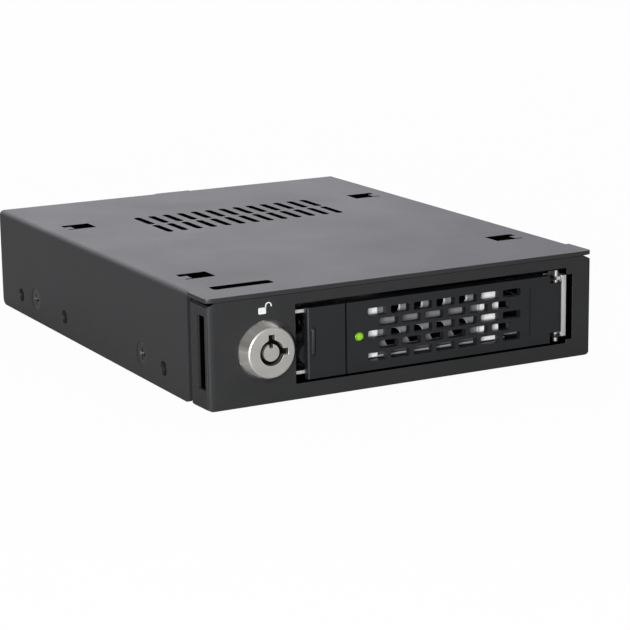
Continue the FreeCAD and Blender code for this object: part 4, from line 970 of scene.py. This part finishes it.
class RACK_OT_lock(bpy.types.Operator):
    """Tubular lock with its nut, plug, tumbler pins and cam"""
    bl_idname = "rack.lock"
    bl_label = "Lock"

    def execute(self, context):
        soften("lock_housing", "nickel_turned", 0.8)
        soften("lock_plug", "nickel_core", 0.6)
        for node in ("lock_nut", "lock_cam", "cam_screw"):
            dress(node, "zinc_plate")
        dress("lock_pins", "pin_brass")
        return {"FINISHED"}


class RACK_OT_door(bpy.types.Operator):
    """Vented door, status light and latch"""
    bl_idname = "rack.door"
    bl_label = "Door and latch"

    def execute(self, context):
        soften("door_panel", "door_satin", 0.9)
        soften("latch_button", "door_satin", shape=latch_shape)
        soften("led_lens", "lens_green", 1.2, 3)
        return {"FINISHED"}


class RACK_OT_tray(bpy.types.Operator):
    """Tray with its front plate, hinge pin, light pipe and latch spring"""
    bl_idname = "rack.tray"
    bl_label = "Tray"

    def execute(self, context):
        soften("tray_frame", "tray_sheet", 0.7, shape=tray_shape)
        soften("tray_front_plate", "plate_sheet", 0.6, shape=plate_shape)
        soften("hinge_pin", "pin_steel", 0.8)
        dress("plate_rivets", "zinc_plate")
        dress("light_pipe", "pipe_clear")
        node, name = "latch_spring", "latch_spring_look"
        coil = mesh_of(welded(node), name)
        spring = show(name, coil, "spring_oxide", "tray", slot_of(node), node)
        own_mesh(spring)
        return {"FINISHED"}


class RACK_OT_backplane(bpy.types.Operator):
    """Backplane board with its sockets and their contacts"""
    bl_idname = "rack.backplane"
    bl_label = "Backplane"

    def execute(self, context):
        put = context.scene.rack_contacts
        dress("backplane_board", "board_mask")
        dress("status_emitter", "lens_green")
        for node in ("drive_socket", "data_port", "power_port"):
            dress(node, "connector_black")
        low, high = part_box("drive_socket")
        wide, tall, middle = high.x - low.x, high.z - low.z, (low + high) / 2
        floor = middle.z - tall / 8
        front, back = low.y + 0.0006, low.y + 0.005
        # each row's ends are shares of the socket's width from its middle
        for name, left, right in (("power_contacts", -0.42, 0.08), ("data_contacts", 0.14, 0.42)):
            count = int((right - left) * wide / put.pitch)
            centre = middle.x + (left + right) / 2 * wide
            self.row(put, "socket_" + name, centre, floor, front, back, count)
        port_walls, tongue_rise = 0.0056, 0.0006
        for node in ("data_port", "power_port"):
            low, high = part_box(node)
            middle = (low + high) / 2
            count = int((high.x - low.x - port_walls) / put.pitch)
            front, back = low.y + 0.0026, high.y - 0.0008
            self.row(put, node + "_contacts", middle.x, middle.z + tongue_rise, front, back, count)
        return {"FINISHED"}

    def row(self, put, name, centre, floor, front, back, count):
        """A row of contacts that lie on a floor, about a centre."""
        thick, corner = 0.00018, 0.00005
        first = centre - (count - 1) / 2 * put.pitch
        work = bmesh.new()
        outline = rounded_box(first, floor + thick / 2, put.width, thick, corner, steps=2)
        extruded(work, outline, front, back)
        bmesh.ops.recalc_face_normals(work, faces=work.faces)
        mesh = in_a_row(work, name, "contact_gilt", count, (put.pitch, 0.0, 0.0))
        show(name, mesh, "contact_gilt", "housing", "pin_brass")


class RACK_OT_studio(bpy.types.Operator):
    """Camera, floor, lights and room"""
    bl_idname = "rack.studio"
    bl_label = "Studio"

    def execute(self, context):
        scene = context.scene
        put = scene.rack_studio
        scene.view_settings.view_transform = "Standard"
        self.camera(scene, put.lens)
        self.floor()
        self.room(scene, put.room_strength, put.front_share)
        self.light("top_light", spot=(0.05, 0.8, 0.65), aim=(0.0, 0.0, 0.01), size=(1.1, 0.9),
                   power=put.key_power)
        self.light("front_light", spot=(-0.32, -0.49, 0.1), aim=(0.0, -0.05, 0.01),
                   size=(0.16, 0.16), power=put.fill_power)
        return {"FINISHED"}

    def camera(self, scene, focal):
        """Camera at the chosen viewing angle."""
        lens = bpy.data.cameras.new("camera")
        lens.lens = focal
        lens.sensor_width = 36.0
        lens.clip_start = 0.05
        lens.clip_end = 40.0
        spot = Vector((-0.246009, FRONT - 0.415212, 0.128623))
        right = Vector((0.88023085, -0.47434872, -0.01367266))
        up = Vector((0.11951553, 0.19371293, 0.97375117))
        turn = Matrix((right, up, right.cross(up))).transposed().to_4x4()
        scene.camera = placed("camera", lens)
        scene.camera.matrix_world = Matrix.Translation(spot) @ turn

    def floor(self):
        """Pale floor that looks nearly white and keeps the rack's shadow."""
        paint = Paint("studio_floor")
        tone = paint.mix(paint.span(paint.noise(60)), (0.38, 0.38, 0.38), (0.42, 0.42, 0.42))
        paint.set(base_color=tone, roughness=0.9, specular_ior_level=0.1)
        glow = paint.node("ShaderNodeEmission")
        glow.inputs["Color"].default_value = (1.0, 1.0, 1.0, 1.0)
        glow.inputs["Strength"].default_value = 1.03
        path = paint.node("ShaderNodeLightPath").outputs
        seen = paint.maths("MAXIMUM", path["Is Camera Ray"], path["Is Transmission Ray"])
        seen = paint.maths(
            "MAXIMUM", paint.weaker(seen, 0.94), paint.weaker(path["Is Glossy Ray"], 0.13))
        blend = paint.node("ShaderNodeMixShader")
        paint.link(seen, blend.inputs["Fac"])
        paint.link(paint.shader.outputs["BSDF"], blend.inputs[1])
        paint.link(glow.outputs["Emission"], blend.inputs[2])
        paint.link(blend.outputs["Shader"], paint.out.inputs["Surface"])
        half, level = 8, -0.00005
        work = bmesh.new()
        work.faces.new([work.verts.new((x * half, y * half, level))
                        for x, y in ((-1, -1), (1, -1), (1, 1), (-1, 1))])
        mesh = mesh_of(work, "studio_floor")
        mesh.materials.append(paint.material)
        placed("studio_floor", mesh)

    def room(self, scene, strength, front_share):
        """White to the camera; a bright wall behind the rack and a darker room in front of it."""
        world = bpy.data.worlds.new("studio")
        scene.world = world
        world.use_nodes = True
        tree = world.node_tree
        tree.nodes.clear()
        out = tree.nodes.new("ShaderNodeOutputWorld")
        back = tree.nodes.new("ShaderNodeBackground")
        back.inputs["Strength"].default_value = strength
        place = tree.nodes.new("ShaderNodeTexCoord")
        along = tree.nodes.new("ShaderNodeVectorMath")
        along.operation = "DOT_PRODUCT"
        along.inputs[1].default_value = Vector((0.35, 0.8, 0.45)).normalized()
        ramp = tree.nodes.new("ShaderNodeMapRange")
        ramp.inputs["From Min"].default_value = 0.5
        ramp.inputs["From Max"].default_value = 0.92
        path = tree.nodes.new("ShaderNodeLightPath").outputs
        seen = tree.nodes.new("ShaderNodeMath")
        seen.operation = "MAXIMUM"
        tint, front, wall, tinted = self.blend(tree)
        front.default_value = (front_share, front_share, front_share, 1.0)
        wall.default_value = (0.985, 0.97, 1.05, 1.0)
        pick, unseen, white, picked = self.blend(tree)
        white.default_value = (1.0 / strength, 1.0 / strength, 1.0 / strength, 1.0)
        for source, target in (
                (place.outputs["Generated"], along.inputs[0]),
                (along.outputs["Value"], ramp.inputs["Value"]),
                (ramp.outputs["Result"], tint.inputs["Factor"]),
                (tinted, unseen),
                (path["Is Camera Ray"], seen.inputs[0]),
                (path["Is Transmission Ray"], seen.inputs[1]),
                (seen.outputs["Value"], pick.inputs["Factor"]),
                (picked, back.inputs["Color"]),
                (back.outputs["Background"], out.inputs["Surface"])):
            tree.links.new(source, target)

    def blend(self, tree):
        """A colour blend, its two colour inputs and its colour output."""
        node = tree.nodes.new("ShaderNodeMix")
        node.data_type = "RGBA"
        first, second = [s for s in node.inputs if s.type == "RGBA"]
        return node, first, second, [s for s in node.outputs if s.type == "RGBA"][0]

    def light(self, name, spot, aim, size, power):
        """A rectangular light at a spot, turned to an aim."""
        lamp = bpy.data.lights.new(name, "AREA")
        lamp.shape = "RECTANGLE"
        lamp.size, lamp.size_y = size
        lamp.energy = power
        item = placed(name, lamp)
        item.location = spot
        item.rotation_euler = (Vector(aim) - Vector(spot)).to_track_quat("-Z", "Y").to_euler()


class RACK_PT_panel(bpy.types.Panel):
    """Settings and steps of the drive rack"""
    bl_idname = "RACK_PT_panel"
    bl_label = "Drive rack"
    bl_space_type = "VIEW_3D"
    bl_region_type = "UI"
    bl_category = "Drive rack"

    def draw(self, context):
        for operator in STEPS:
            self.layout.operator(operator.bl_idname)
        for group, kind in GROUPS.items():
            box = self.layout.box()
            for name in kind.__annotations__:
                box.prop(getattr(context.scene, group), name)


GROUPS = {
    "rack_finish": RackFinish, "rack_form": RackForm, "rack_mark": RackMark,
    "rack_screws": RackScrews, "rack_contacts": RackContacts, "rack_studio": RackStudio,
}
STEPS = (
    RACK_OT_housing, RACK_OT_screws, RACK_OT_bezel, RACK_OT_lock,
    RACK_OT_door, RACK_OT_tray, RACK_OT_backplane, RACK_OT_studio,
)


def register():
    for kind in (*GROUPS.values(), *STEPS, RACK_PT_panel):
        bpy.utils.register_class(kind)
    for name, kind in GROUPS.items():
        setattr(bpy.types.Scene, name, bpy.props.PointerProperty(type=kind))


def unregister():
    for name in GROUPS:
        delattr(bpy.types.Scene, name)
    for kind in reversed((*GROUPS.values(), *STEPS, RACK_PT_panel)):
        bpy.utils.unregister_class(kind)


def main():
    register()
    bpy.ops.rack.housing()
    bpy.ops.rack.screws()
    bpy.ops.rack.bezel()
    bpy.ops.rack.lock()
    bpy.ops.rack.door()
    bpy.ops.rack.tray()
    bpy.ops.rack.backplane()
    bpy.ops.rack.studio()


if __name__ == "__main__":
    main()
